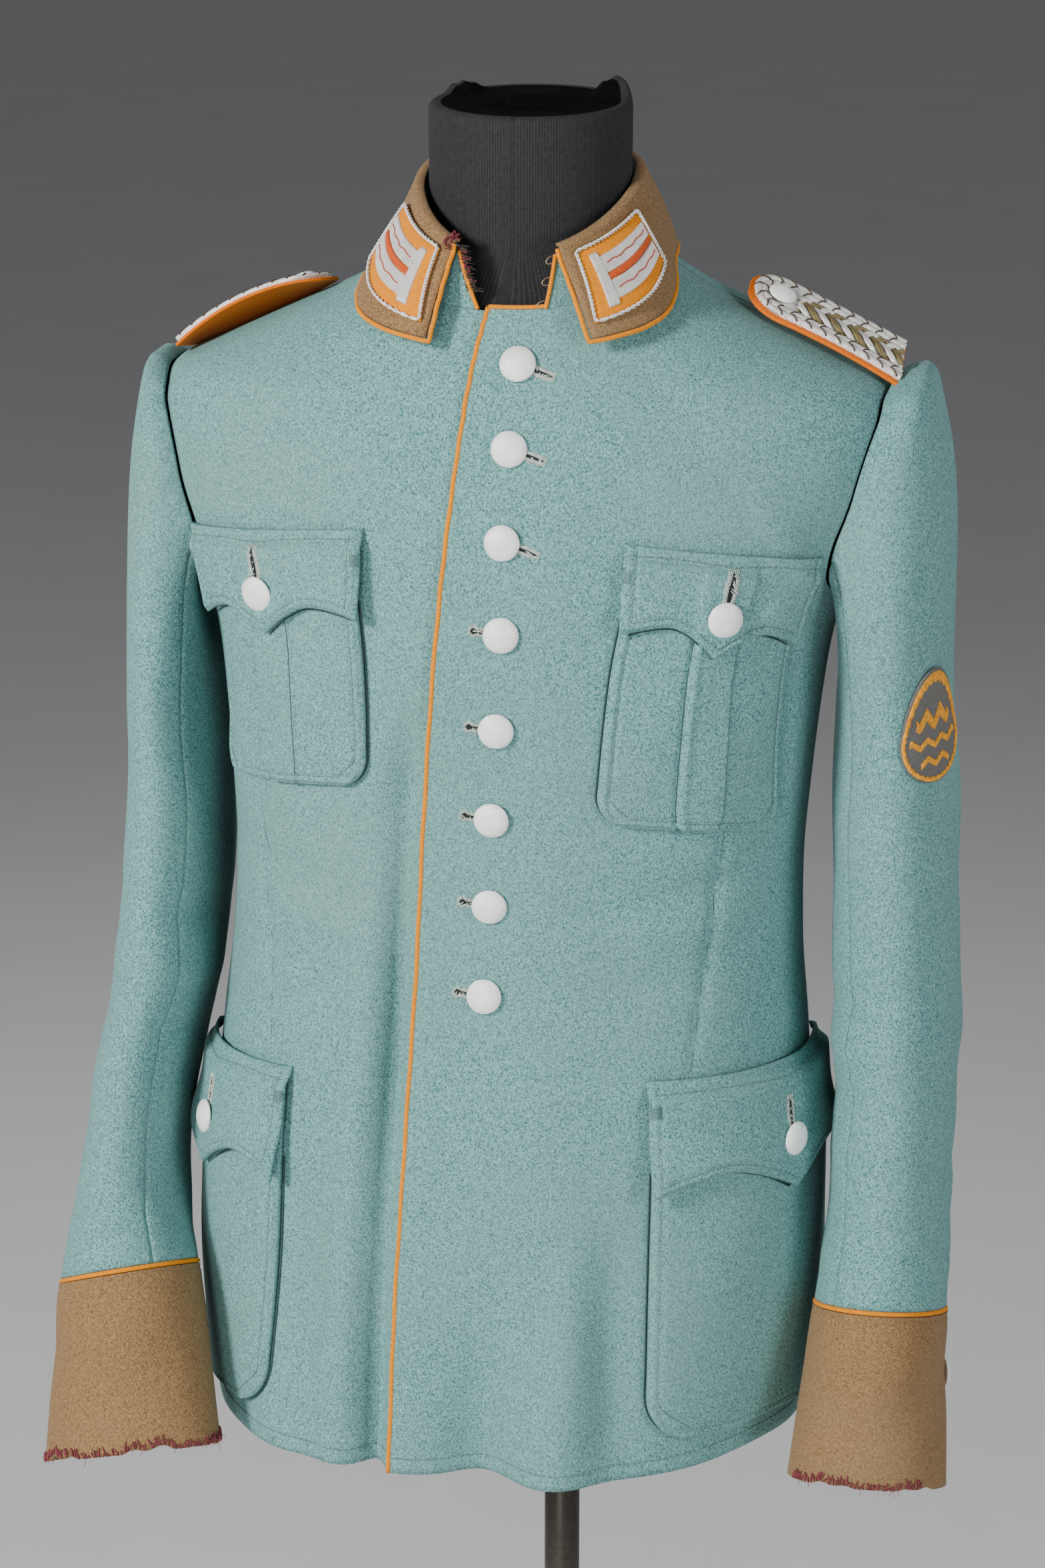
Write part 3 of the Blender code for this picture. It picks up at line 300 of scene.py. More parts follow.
def front_point(side, across, height, lift=0.0, face=-1):
    """Point and normal on a front, with its lap or hollow, its creases and its dart."""
    own = np.where(np.asarray(face) < 0, relief(side, across, height), 0.0)
    held = ease((1.385 - height) / 0.05) * ease((0.985 - np.abs(across) / size("half_width", height)) / 0.05)
    worn = 1.6 * creased(across, height, FRONT_CREASES) + uneven(across, height)
    worn = worn + creased(across, height, DARTS)
    under = ease((across - front_edge(height) + 0.010) / 0.008) if side < 0 else 0.0
    worn = worn * (1 - 0.9 * under)
    return trunk(across, height, face, lift + own + np.where(np.asarray(face) < 0, worn * held, 0.0))


def back_point(across, height, lift=0.0):
    """Point and normal on the back, with its creases."""
    held = ease((0.985 - np.abs(across) / size("half_width", height)) / 0.05)
    worn = creased(across, height, BACK_CREASES) + uneven(across, height)
    seam = -0.0012 * bell(across, 0.0022)
    return trunk(across, height, 1, lift + (worn + seam) * held)


def armhole(share):
    """Reach and height of the armhole at a share of the way up from under the arm."""
    reach = smooth(share, ARMHOLE["share"], ARMHOLE["reach"])
    height = smooth(share, ARMHOLE["share"], ARMHOLE["height"])
    return reach, height


def body_grid(side, face, first, second, u, v):
    """Distance from the centre line and height over the grid of a body panel.

    u runs from the centre edge to the side, v from the hem (0) over the armpit's level (1) to
    the neck and shoulder seam (2). Below the armpit each row is level. Above it the grid is a
    blend of its four border curves: armpit row, neck and shoulder, centre edge and armhole.
    """
    def row(share, height):
        """Distances across: evenly over the lap's share, then by equal turns round the body."""
        lap = np.clip(share / LAP_SHARE, 0, 1)
        inner = first(height) + (second(height) - first(height)) * lap
        start = angle_at(second(height), height)
        turn = start + (np.pi / 2 - start) * (share - LAP_SHARE) / (1 - LAP_SHARE)
        return np.where(share <= LAP_SHARE, inner, across_at(np.maximum(turn, start), height))

    u = np.asarray(u)[None, :]
    v = np.asarray(v)[:, None]
    low = HEM + (ARMPIT - HEM) * np.clip(v, 0, 1) + 0 * u
    across_low = row(u, low)
    seam_level = 1.40
    turn = angle_at(row(np.minimum(u / NECK_SHARE, 1.0), seam_level), seam_level)
    neck_height = neckline(np.pi - turn) if face > 0 else neckline(turn)
    neck_across = across_at(turn, neck_height)
    along = np.clip((u - NECK_SHARE) / (1 - NECK_SHARE), 0, 1)
    tip_height = neckline(np.pi / 2) + (SHOULDER_TIP - neckline(np.pi / 2)) * along
    on_neck = u <= NECK_SHARE
    top_height = np.where(on_neck, neck_height, tip_height)
    top_across = np.where(on_neck, neck_across, size("half_width", tip_height))
    t = 1 - (1 - np.clip(v - 1, 0, 1)) ** 2
    armpit_across = row(u, ARMPIT + 0 * u)
    reach, arm_height = armhole(t)
    arm_across = reach * size("half_width", arm_height)
    edge_across = first(ARMPIT + (top_height[:, :1] - ARMPIT) * t)
    straight_edge = (1 - t) * armpit_across[:, :1] + t * top_across[:, :1]
    straight_arm = (1 - t) * armpit_across[:, -1:] + t * top_across[:, -1:]
    straight_height = (1 - t) * ARMPIT + t * top_height[:, -1:]
    high_across = (1 - t) * armpit_across + t * top_across
    high_across = high_across + (1 - u) ** 2 * (edge_across - straight_edge)
    high_across = high_across + u ** 3 * (arm_across - straight_arm)
    high = (1 - t) * ARMPIT + t * top_height + u ** 3 * (arm_height - straight_height)
    above = v > 1
    return side * np.where(above, high_across, across_low), np.where(above, high, low)


def left_start(height):
    """Edge of the left front, just inside its piping."""
    return front_edge(height) + PIPING + SEAM


def left_even(height):
    """Where the left front's even columns start, over the underlap's edge."""
    return UNDERLAP_EDGE + 0 * height


def right_start(height):
    """Hidden edge of the right front, mirrored to its own side."""
    return -UNDERLAP_EDGE + 0 * height


def right_even(height):
    """Where the right front comes out from under the piped edge, mirrored to its own side."""
    return -front_edge(height)


def back_start(height):
    """Centre back seam."""
    return SEAM / 2 + 0 * height


def back_even(height):
    """First even column of a back panel."""
    return 0.050 + 0 * height


def front_panel(side, u, v, lift=0.0):
    """Outer surface of a front and its normals."""
    first, second = (left_start, left_even) if side > 0 else (right_start, right_even)
    across, height = body_grid(side, -1, first, second, u, v)
    return front_point(side, across, height, lift)


def back_panel(side, u, v, lift=0.0):
    """Outer surface of a back panel and its normals."""
    across, height = body_grid(side, 1, back_start, back_even, u, v)
    return back_point(across, height, lift)


def grid_faces(rows, cols, layers=1, ring=False):
    """Quads over a grid of points. With two layers they close into a wall round its rims."""
    index = np.arange(rows * cols).reshape(rows, cols)
    if ring:
        index = np.concatenate([index, index[:, :1]], axis=1)
    quads = np.stack([index[:-1, :-1], index[:-1, 1:], index[1:, 1:], index[1:, :-1]], axis=-1)
    faces = [quads.reshape(-1, 4)]
    if layers == 2:
        under = rows * cols
        faces.append(faces[0][:, ::-1] + under)
        rims = [index[0], index[-1][::-1]] + ([] if ring else [index[::-1, 0], index[:, -1]])
        for rim in rims:
            a, b = rim[:-1], rim[1:]
            faces.append(np.stack([b, a, a + under, b + under], axis=-1))
    return np.concatenate(faces)


def add_piece(name, points, faces, material, nodes=(), uv=None, place=PLACE, sharp=None):
    """A finished piece: its smooth mesh in place with its material, on the one body, for its nodes.

    faces is an array of quads or a list of faces, uv has a pair for each point, and edges over
    the sharp angle in degrees stay sharp.
    """
    mesh = bpy.data.meshes.new(name)
    faces = faces if isinstance(faces, list) else faces.tolist()
    mesh.from_pydata((np.reshape(points, (-1, 3)) + place).tolist(), [], faces)
    mesh.shade_smooth()
    if sharp:
        mesh.set_sharp_from_angle(angle=np.radians(sharp))
    if uv is not None:
        corners = np.empty(len(mesh.loops), dtype=np.int32)
        mesh.loops.foreach_get("vertex_index", corners)
        layer = mesh.uv_layers.new(name="cut")
        layer.data.foreach_set("uv", np.reshape(uv, (-1, 2))[corners].ravel().astype(np.float32))
    mesh.materials.append(material)
    piece = bpy.data.objects.new(name, mesh)
    bpy.context.collection.objects.link(piece)
    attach(piece, "root")
    if nodes:
        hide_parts(*nodes)
    return piece


def wall(name, outer, inner, material, nodes=(), ring=False):
    """Closed cloth wall between two grids, faces outward, with a UV map in metres on its cut."""
    rows, cols = outer.shape[:2]
    faces = grid_faces(rows, cols, 2, ring)
    a, b, c = (outer.reshape(-1, 3)[faces[: (rows - 1) * (cols - 1), k]] for k in (0, 1, 3))
    out = (outer - inner).reshape(-1, 3)[faces[: (rows - 1) * (cols - 1), 0]]
    if np.sum(np.cross(b - a, c - a) * out) < 0:
        faces = faces[:, ::-1]
    along = np.concatenate([np.zeros((rows, 1)), np.cumsum(
        np.linalg.norm(np.diff(outer, axis=1), axis=-1), axis=1)], axis=1)
    up = np.concatenate([np.zeros((1, cols)), np.cumsum(
        np.linalg.norm(np.diff(outer, axis=0), axis=-1), axis=0)], axis=0)
    uv = np.stack([along, up], axis=-1)
    points = np.concatenate([outer.reshape(-1, 3), inner.reshape(-1, 3)])
    return add_piece(name, points, faces, material, nodes, np.concatenate([uv, uv]))


def cloth(name, node, outer, normal, thick, material, ring=False):
    """A cloth wall of even thickness."""
    piece = wall(name, outer, outer - thick * normal, material, (node,), ring)


def shrink(grid, normals):
    """Keep a panel's last column and last row clear of the side, shoulder and neck seams."""
    grid[:, -1] += unit(grid[:, -2] - grid[:, -1]) * SEAM / 2
    grid[-1] += unit(grid[-2] - grid[-1]) * SEAM / 2
    return grid, normals


def new_material(name):
    """A new material, with its shader and short ways to add a node with settings and to link."""
    material = bpy.data.materials.new(name)
    material.use_nodes = True
    tree = material.node_tree

    def add(kind, **settings):
        """A node of a kind, each setting put on its input of that name or else on itself."""
        node = tree.nodes.new(kind)
        for key, value in settings.items():
            if key in node.inputs:
                node.inputs[key].default_value = value
            else:
                setattr(node, key, value)
        return node

    return material, tree.nodes["Principled BSDF"], add, tree.links.new


def settle(node, **values):
    """Sets a node's inputs, their names written with underscores."""
    for key, value in values.items():
        node.inputs[key.replace("_", " ")].default_value = value


def two_tone(add, link, source, low, high):
    """A ramp over the source between two stops, each a place and a colour."""
    ramp = add("ShaderNodeValToRGB")
    for element, (place, colour) in zip(ramp.color_ramp.elements, (low, high)):
        element.position = place
        element.color = (*colour, 1)
    link(source, ramp.inputs["Fac"])
    return ramp.outputs[0]


def weighted(add, link, source, weight, other):
    """The source times its weight, plus another value."""
    node = add("ShaderNodeMath", operation="MULTIPLY_ADD")
    node.inputs[1].default_value = weight
    link(source, node.inputs[0])
    link(other, node.inputs[2])
    return node.outputs[0]


def bumped(add, link, shader, height, strength, distance, invert=False):
    """Gives the shader a bump of a height."""
    bump = add("ShaderNodeBump", Strength=strength, Distance=distance, invert=invert)
    link(height, bump.inputs["Height"])
    link(bump.outputs[0], shader.inputs["Normal"])


def wool(name, deep, pale, worn, nap=1.0, grain=1.0, twill=0.0):
    """Milled wool: flecks of two fibre colours, slow worn patches, a short nap and its sheen.

    The colour runs from deep to pale with 0.74 of fine flecks and 0.26 of longer strands. twill
    adds slanted ridges, so many to the metre, to the bump.
    """
    material, shader, add, link = new_material(name)
    where = add("ShaderNodeTexCoord").outputs["Object"]
    flecks = add("ShaderNodeTexNoise", Scale=1050.0 * grain, Detail=2.0, Roughness=0.7)
    strands = add("ShaderNodeTexNoise", Scale=620.0 * grain, Detail=2.0, Roughness=0.6)
    slow = add("ShaderNodeTexNoise", Scale=9.0, Detail=3.0, Roughness=0.55)
    lie = add("ShaderNodeMapping", Rotation=(0.3, 0.2, 0.5), Scale=(1.0, 1.0, 0.80))
    link(where, lie.inputs["Vector"])
    for texture, source in ((flecks, lie.outputs[0]), (strands, lie.outputs[0]), (slow, where)):
        link(source, texture.inputs["Vector"])
    part = add("ShaderNodeMath", operation="MULTIPLY")
    part.inputs[1].default_value = 0.26
    link(strands.outputs["Fac"], part.inputs[0])
    fibre = weighted(add, link, flecks.outputs["Fac"], 0.74, part.outputs[0])
    patch = add("ShaderNodeMapRange")
    settle(patch, From_Min=0.42, From_Max=0.72, To_Max=0.38)
    link(slow.outputs["Fac"], patch.inputs["Value"])
    mix = add("ShaderNodeMix", data_type="RGBA")
    mix.inputs["B"].default_value = (*worn, 1)
    link(patch.outputs[0], mix.inputs["Factor"])
    link(two_tone(add, link, fibre, (0.37, deep), (0.63, pale)), mix.inputs["A"])
    link(mix.outputs["Result"], shader.inputs["Base Color"])
    height = fibre
    if twill:
        wave = add("ShaderNodeTexWave", Scale=twill, Distortion=1.2, Detail=2.0, bands_direction="DIAGONAL")
        link(where, wave.inputs["Vector"])
        height = weighted(add, link, wave.outputs["Fac"], 0.35, fibre)
    bumped(add, link, shader, height, 0.42 * nap, 0.0006)
    settle(shader, Roughness=0.92, Specular_IOR_Level=0.14, Sheen_Weight=0.08, Sheen_Roughness=0.5,
           Sheen_Tint=(0.75, 0.85, 0.84, 1))
    return material


GREEN_WOOL = wool("green_wool", (0.037, 0.126, 0.127), (0.240, 0.480, 0.460), (0.168, 0.295, 0.272))
BODY_V = np.concatenate([np.linspace(0, 1, 124), 1 + np.linspace(0, 1, 50)[1:]])
FRONT_U = np.concatenate([np.linspace(0, LAP_SHARE, 25), np.linspace(LAP_SHARE, 1, 58)[1:]])
BACK_U = np.concatenate([np.linspace(0, LAP_SHARE, 13), np.linspace(LAP_SHARE, 1, 46)[1:]])
HANDS = ((1, "left"), (-1, "right"))
for side, word in HANDS:
    for name, panel, u in (("front_" + word, front_panel, FRONT_U), ("back_" + word, back_panel, BACK_U)):
        outer, normal = shrink(*panel(side, u, BODY_V))
        cloth("cloth_" + name, name, outer, normal, CLOTH, GREEN_WOOL)

# The sleeves: a top and an under piece each, set into the armholes with a little fullness.
# The head stands up over the seam, the elbow bends forward, and the right sleeve hangs turned
# a little more to the front.
SLEEVE_COLUMNS = ("height", "x", "y", "half_width", "half_depth", "tip_front", "tip_body")
SLEEVES = {
    1: columns(SLEEVE_COLUMNS, (
        (1.150, 0.2340, 0.004, 0.0355, 0.0810, 0.00, 0.00),
        (1.060, 0.2375, 0.000, 0.0380, 0.0770, 0.03, 0.00),
        (0.960, 0.2415, -0.012, 0.0385, 0.0725, 0.10, 0.00),
        (0.880, 0.2435, -0.028, 0.0370, 0.0680, 0.20, 0.00),
        (0.820, 0.2425, -0.044, 0.0385, 0.0610, 0.30, 0.00),
        (0.780, 0.2405, -0.056, 0.0405, 0.0570, 0.34, 0.00),
        (0.677, 0.2375, -0.088, 0.0480, 0.0470, 0.36, 0.00))),
    -1: columns(SLEEVE_COLUMNS, (
        (1.150, -0.2075, 0.004, 0.0275, 0.0830, 0.00, 0.00),
        (1.060, -0.2080, -0.002, 0.0285, 0.0785, 0.05, 0.00),
        (0.960, -0.2160, -0.018, 0.0300, 0.0745, 0.14, 0.02),
        (0.880, -0.2275, -0.047, 0.0285, 0.0680, 0.26, 0.07),
        (0.820, -0.2290, -0.073, 0.0345, 0.0590, 0.36, 0.16),
        (0.785, -0.2245, -0.100, 0.0425, 0.0500, 0.42, 0.25),
        (0.680, -0.2150, -0.138, 0.0550, 0.0370, 0.44, 0.20)))}
ROPE = {1: 0.010, -1: 0.005}
HEAD_OUT = {1: 0.60, -1: 0.30}
CUFF_ROW = 5
SLEEVE_END = 6
FRONT_SEAM = 0.36
BACK_SEAM = 0.72
SLEEVE_CLEAR = 0.0007
UNDERARM_CLEAR = 0.0024
CUFF_STEP = 0.029
# Creases of the sleeves: turns round the arm and rows down it instead of lengths
SLEEVE_CREASES = {
    1: columns(CREASE_COLUMNS, (
        (0.20, 1.70, 0.46, 1.95, 0.10, -0.0030),
        (0.16, 2.10, 0.50, 2.25, 0.11, 0.0026),
        (0.22, 2.50, 0.48, 2.62, 0.10, -0.0026),
        (0.24, 2.90, 0.44, 3.10, 0.10, 0.0016),
        (0.02, 0.20, 0.14, 1.10, 0.12, 0.0018),
        (0.22, -0.35, 0.30, 0.60, 0.10, -0.0026),
        (0.80, -0.30, 0.72, 0.70, 0.10, -0.0024),
        (0.86, 1.90, 1.02, 2.30, 0.12, 0.0018),
        (0.92, 3.30, 1.05, 3.00, 0.10, -0.0016),
        (0.10, 3.70, 0.30, 3.90, 0.10, -0.0014))),
    -1: columns(CREASE_COLUMNS, (
        (0.18, 1.40, 0.48, 1.62, 0.10, -0.0034),
        (0.14, 1.80, 0.50, 2.02, 0.12, 0.0032),
        (0.20, 2.25, 0.46, 2.45, 0.10, -0.0030),
        (0.20, 2.75, 0.42, 2.95, 0.10, 0.0020),
        (0.05, 0.60, 0.16, 1.60, 0.12, 0.0018),
        (0.26, -0.30, 0.34, 0.60, 0.10, -0.0028),
        (0.78, -0.35, 0.70, 0.60, 0.10, -0.0024),
        (0.84, 1.60, 1.00, 2.10, 0.12, 0.0020),
        (0.96, 3.60, 1.10, 3.30, 0.10, 0.0014),
        (0.08, 3.90, 0.28, 4.20, 0.10, -0.0018)))}


def sleeve_ring(side, turn, row):
    """Point on a sleeve below its head: an ellipse, tipped. turn is 0 outside, a quarter in front."""
    table = SLEEVES[side]
    index = np.arange(len(table["height"]), dtype=float)
    middle = {name: smooth(row, index, table[name]) for name in SLEEVE_COLUMNS}
    angle = 2 * np.pi * turn
    out = middle["half_width"] * np.cos(angle)
    forward = middle["half_depth"] * np.sin(angle)
    height = middle["height"] + middle["tip_front"] * forward - middle["tip_body"] * out
    return np.stack([middle["x"] + side * out, middle["y"] - forward, height], axis=-1)


def sleeve_point(side, turn, row):
    """Outer surface of a sleeve. Rows -1 to 0 are its head: a Hermite curve from the armhole
    outward and down to the first ring."""
    turn, row = np.broadcast_arrays(np.asarray(turn, float), np.asarray(row, float))
    half = np.mod(turn, 1.0)
    in_front = half < 0.5
    share = np.where(in_front, 1 - 2 * half, 2 * half - 1)
    reach, height = armhole(share)
    clear = SLEEVE_CLEAR + UNDERARM_CLEAR * (1 - share) ** 2
    start, normal = trunk(side * reach * size("half_width", height), height,
                          np.where(in_front, -1, 1), clear, folds=False)
    angle = 2 * np.pi * half
    first = sleeve_ring(side, half, 0 * row)
    chord = np.linalg.norm(first - start, axis=-1)
    top = (1 + np.cos(angle)) / 2
    down = 0.30 * top - 0.9 * (1 - top)
    leave = np.stack([side * (0.25 + HEAD_OUT[side] * top), -0.40 * np.sin(angle), down], axis=-1)
    leave = leave * chord[..., None] * 0.9
    arrive = unit(sleeve_ring(side, half, 0 * row + 0.4) - first) * chord[..., None]
    t = np.clip(row + 1, 0, 1)[..., None]
    head = ((1 + 2 * t) * (1 - t) ** 2 * start + t * (1 - t) ** 2 * leave
            + t * t * (3 - 2 * t) * first + t * t * (t - 1) * arrive)
    rope = ROPE[side] * bell(t[..., 0] - 0.13, 0.11) * top ** 2
    head = head + rope[..., None] * np.array([side * 0.45, 0.0, 0.9])
    below = sleeve_ring(side, half, np.clip(row, 0, None))
    return np.where((row < 0)[..., None], head, below)


def sleeve_surface(side, turn, row, lift=0.0, worn=True):
    """Sleeve points moved out along their normals, with creases and the head's puckers."""
    turn, row = np.broadcast_arrays(np.asarray(turn, float), np.asarray(row, float))
    step = 0.004
    round_arm = sleeve_point(side, turn + step, row) - sleeve_point(side, turn - step, row)
    low = np.minimum(row + step * 5, SLEEVE_END)
    high = np.maximum(row - step * 5, -1)
    down_arm = sleeve_point(side, turn, low) - sleeve_point(side, turn, high)
    normal = unit(side * np.cross(round_arm, down_arm))
    if worn:
        own = creased(turn, row, SLEEVE_CREASES[side])
        for shift in (-1.0, 1.0):
            own = own + creased(turn + shift, row, SLEEVE_CREASES[side])
        held = ease((CUFF_ROW - row) / 0.8) * ease((row + 1) / 0.25)
        half = np.mod(turn, 1.0)
        pucker = np.sin(2 * np.pi * 23 * half + 1.7 * np.sin(9 * half)) * bell(row + 0.93, 0.10)
        pucker = pucker * (0.45 + 0.55 * np.cos(2 * np.pi * half))
        lift = lift + own * held + 0.0007 * pucker * ease((row + 1) / 0.04)
        lift = lift + 0.0006 * np.sin(5 * row + 11 * half) * held
    return sleeve_point(side, turn, row) + normal * np.asarray(lift)[..., None], normal


SLEEVE_ROWS = np.concatenate([np.linspace(-1, -0.6, 26), np.linspace(-0.6, CUFF_ROW - CUFF_STEP, 92)[1:]])
SLEEVE_PARTS = (("top", BACK_SEAM - 1, FRONT_SEAM, 84), ("under", FRONT_SEAM, BACK_SEAM, 48))
SEAM_TURN = 0.0006
SEAM_DIP = 0.0007
for side, word in HANDS:
    for part, first, last, count in SLEEVE_PARTS:
        name = "sleeve_%s_%s" % (word, part)
        turns = np.linspace(first + SEAM_TURN, last - SEAM_TURN, count)
        outer, normal = sleeve_surface(side, turns[None, :], SLEEVE_ROWS[:, None])
        beside = np.minimum(turns - turns[0], turns[-1] - turns)
        outer = outer - normal * (SEAM_DIP * bell(beside, 0.006))[None, :, None]
        cloth("cloth_" + name, name, outer, normal, CLOTH, GREEN_WOOL)

# The cuffs: brown wool turned up over the sleeve's end, piped along the top. Their lower
# edge is worn through and whipped all round with wine red thread.
CUFF_CLOTH = 0.0030
BROWN_WOOL = wool("brown_wool", (0.125, 0.068, 0.028), (0.350, 0.210, 0.095), (0.230, 0.170, 0.095),
                  nap=0.8, grain=1.15, twill=210.0)
CUFF_DENTS = columns(CREASE_COLUMNS, (
    (0.04, 5.35, 0.22, 5.75, 0.09, -0.0022),
    (0.16, 5.30, 0.34, 5.60, 0.09, 0.0016),
    (0.30, 5.75, 0.42, 5.40, 0.08, -0.0016),
    (0.60, 5.30, 0.72, 5.80, 0.10, 0.0014),
    (0.86, 5.60, 0.98, 5.30, 0.09, -0.0014)))


def plain(name, colour, roughness=0.8, metallic=0.0, speck=0.25, scale=500.0, bump=0.25):
    """Thread, felt or wire: one colour with fine light and dark specks and a slight tooth."""
    material, shader, add, link = new_material(name)
    noise = add("ShaderNodeTexNoise", Scale=scale, Detail=4.0, Roughness=0.65)
    link(add("ShaderNodeTexCoord").outputs["Object"], noise.inputs["Vector"])
    colour = np.array(colour)
    low, high = (0.32, colour * (1 - speck)), (0.68, np.minimum(colour * (1 + speck), 1))
    link(two_tone(add, link, noise.outputs["Fac"], low, high), shader.inputs["Base Color"])
    bumped(add, link, shader, noise.outputs["Fac"], bump, 0.0004)
    settle(shader, Roughness=roughness, Metallic=metallic)
    return material


def felt(name, colour):
    """Dyed wool felt: specks as above, with a soft sheen."""
    material = plain(name, colour, roughness=0.9, speck=0.22, scale=900.0, bump=0.6)
    settle(material.node_tree.nodes["Principled BSDF"], Sheen_Weight=0.10, Specular_IOR_Level=0.15,
           Sheen_Tint=(1.0, 0.7, 0.4, 1))
    return material


ORANGE_FELT = felt("orange_felt", (0.730, 0.235, 0.004))


def tubes(paths, radius, sides=6, closed=False, squash=None):
    """Round cords along an array of paths (cord, step, xyz): a circle carried along each one.

    The circle's first axis starts beside the path and is kept square to it from step to step.
    A squash direction flattens the cords along it. Returns points and faces, the ends of open
    cords closed.
    """
    paths = np.asarray(paths, float)
    count, steps = paths.shape[:2]
    if closed:
        along = unit(np.roll(paths, -1, axis=1) - np.roll(paths, 1, axis=1))
    else:
        along = unit(np.gradient(paths, axis=1))
    out = squash if squash is not None else np.cross(along, (0.31, 0.17, 0.93))
    out = unit(out - along * np.sum(out * along, axis=-1, keepdims=True))
    if squash is None:
        for i in range(1, steps):
            before, ahead = out[:, i - 1], along[:, i]
            out[:, i] = unit(before - ahead * np.sum(before * ahead, axis=-1, keepdims=True))
    side = np.cross(along, out)
    turn = np.arange(sides) * 2 * np.pi / sides
    radius = np.broadcast_to(radius, paths.shape[:2])[..., None, None]
    flat = 1.0 if squash is None else 0.62
    rings = paths[:, :, None] + radius * (flat * np.cos(turn)[:, None] * out[:, :, None]
                                          + np.sin(turn)[:, None] * side[:, :, None])
    index = np.arange(count * steps * sides).reshape(count, steps, sides)
    nxt = np.roll(index, -1, axis=2)
    ahead = np.roll(index, -1, axis=1)
    nxt_ahead = np.roll(nxt, -1, axis=1)
    keep = slice(None) if closed else slice(0, -1)
    quads = np.stack([index[:, keep], nxt[:, keep], nxt_ahead[:, keep], ahead[:, keep]], axis=-1)
    faces = quads.reshape(-1, 4).tolist()
    if not closed:
        faces += index[:, 0, ::-1].tolist() + index[:, -1].tolist()
    return rings.reshape(-1, 3), faces


def add_tubes(name, paths, radius, material, nodes=(), sides=6, closed=False, squash=None):
    """One piece of one or more cords."""
    points, faces = tubes(paths, radius, sides, closed, squash)
    return add_piece(name, points, faces, material, nodes)


def arched(a, b, out, rise, steps=5):
    """Paths of short threads from points a to b, each a parabola that rises along out."""
    t = np.linspace(0, 1, steps)[None, :, None]
    return a[:, None] + (b - a)[:, None] * t + out[:, None] * (rise * 4 * t * (1 - t))


WINE_THREAD = plain("wine_thread", (0.190, 0.030, 0.042), speck=0.5)


def cuff_surface(side, turn, row, lift=0.0008):
    """The sleeve's end with the cuff's own soft dents and its worn, wavy lower edge."""
    turn, row = np.broadcast_arrays(np.asarray(turn, float), np.asarray(row, float))
    own = sum(creased(turn + shift, row, CUFF_DENTS) for shift in (-1.0, 0.0, 1.0))
    edge = 0.020 * np.sin(2 * np.pi * 5 * turn + 1.0) + 0.012 * np.sin(2 * np.pi * 17 * turn)
    row = row + edge * ease((row - 5.7) / 0.3) * (0.6 if side > 0 else 1.0)
    row = np.minimum(row, SLEEVE_END)
    return sleeve_surface(side, turn, row, lift + own * ease((row - CUFF_ROW) / 0.15), worn=False)


CUFF_PRESSED = 5.12
CUFF_ROWS = np.concatenate([np.linspace(CUFF_ROW + CUFF_STEP, CUFF_PRESSED, 8),
                            np.linspace(CUFF_PRESSED, SLEEVE_END, 26)[1:]])
WHIP_RADIUS = 0.00042
FRAY_RADIUS = 0.00016
draw = np.random.default_rng(7)
for side, word in HANDS:
    turns = np.arange(112) / 112
    outer, normal = cuff_surface(side, turns[None, :], CUFF_ROWS[:, None])
    stitch = bell(CUFF_ROWS - (CUFF_ROW + 0.065), 0.012)
    outer = outer - normal * (0.0006 * stitch)[:, None, None]
    thread_turns = (np.arange(230) + draw.uniform(-0.4, 0.4, 230)) / 230
    if side > 0:
        thread_turns = thread_turns[(thread_turns > 0.12) & (thread_turns < 0.42)]
    low = SLEEVE_END - 0.004
    reach = draw.uniform(0.022, 0.060, len(thread_turns))
    slant = draw.uniform(-0.004, 0.010, len(thread_turns))
    a, out = cuff_surface(side, thread_turns, low - reach, 0.0012)
    b = cuff_surface(side, thread_turns + slant, low, 0.0006)[0]
    whip = add_tubes("whipping_cuff_" + word, arched(a, b, out, 0.0009), WHIP_RADIUS, WINE_THREAD,
                     sides=5)
    loose_turns = draw.uniform(0, 1, 46) if side < 0 else draw.uniform(0.12, 0.40, 18)
    a, out = cuff_surface(side, loose_turns, low - 0.01, 0.0004)
    stray = draw.normal(0, 0.0016, (len(loose_turns), 3)) - np.array([0, 0, 0.0022])
    fray = add_tubes("fray_cuff_" + word, arched(a, a + stray, out, 0.0006), FRAY_RADIUS, WINE_THREAD,
                     sides=4)
    cloth("cloth_cuff_" + word, "cuff_" + word, outer, normal, CUFF_CLOTH, BROWN_WOOL,
          ring=True)
    turns = np.arange(160) / 160
    seam, normal = sleeve_surface(side, turns, CUFF_ROW + 0 * turns, -0.0006)
    add_tubes("piping_of_cuff_" + word, seam[None], PIPING, ORANGE_FELT,
              ("piping_cuff_" + word,), sides=10, closed=True)

# The collar: a green stand inside a brown fall that rolls over it, piped in orange along the
# front and lower edges. The stand's own front edges are piped too. One is worn through.
FOLD_HALF_WIDTH = 0.0632
FOLD_MIDDLE_Y = -0.018
FOLD_FRONT = 0.075
FOLD_BACK = 0.068
ROLL = 0.0048
STAND_ENDS = (6.5, 10.0)
FOLD_ENDS = (28.0, 26.0)
FALL_ENDS = (13.2, 17.0)
FALL_DENTS = columns(CREASE_COLUMNS, (
    (-0.62, 0.35, -0.50, 0.95, 0.05, -0.0010),
    (-0.30, 0.40, -0.22, 0.95, 0.06, 0.0010),
    (0.05, 0.35, 0.10, 0.90, 0.06, -0.0010),
    (0.40, 0.45, 0.46, 0.95, 0.05, 0.0010),
    (0.66, 0.35, 0.60, 0.90, 0.04, -0.0008)))


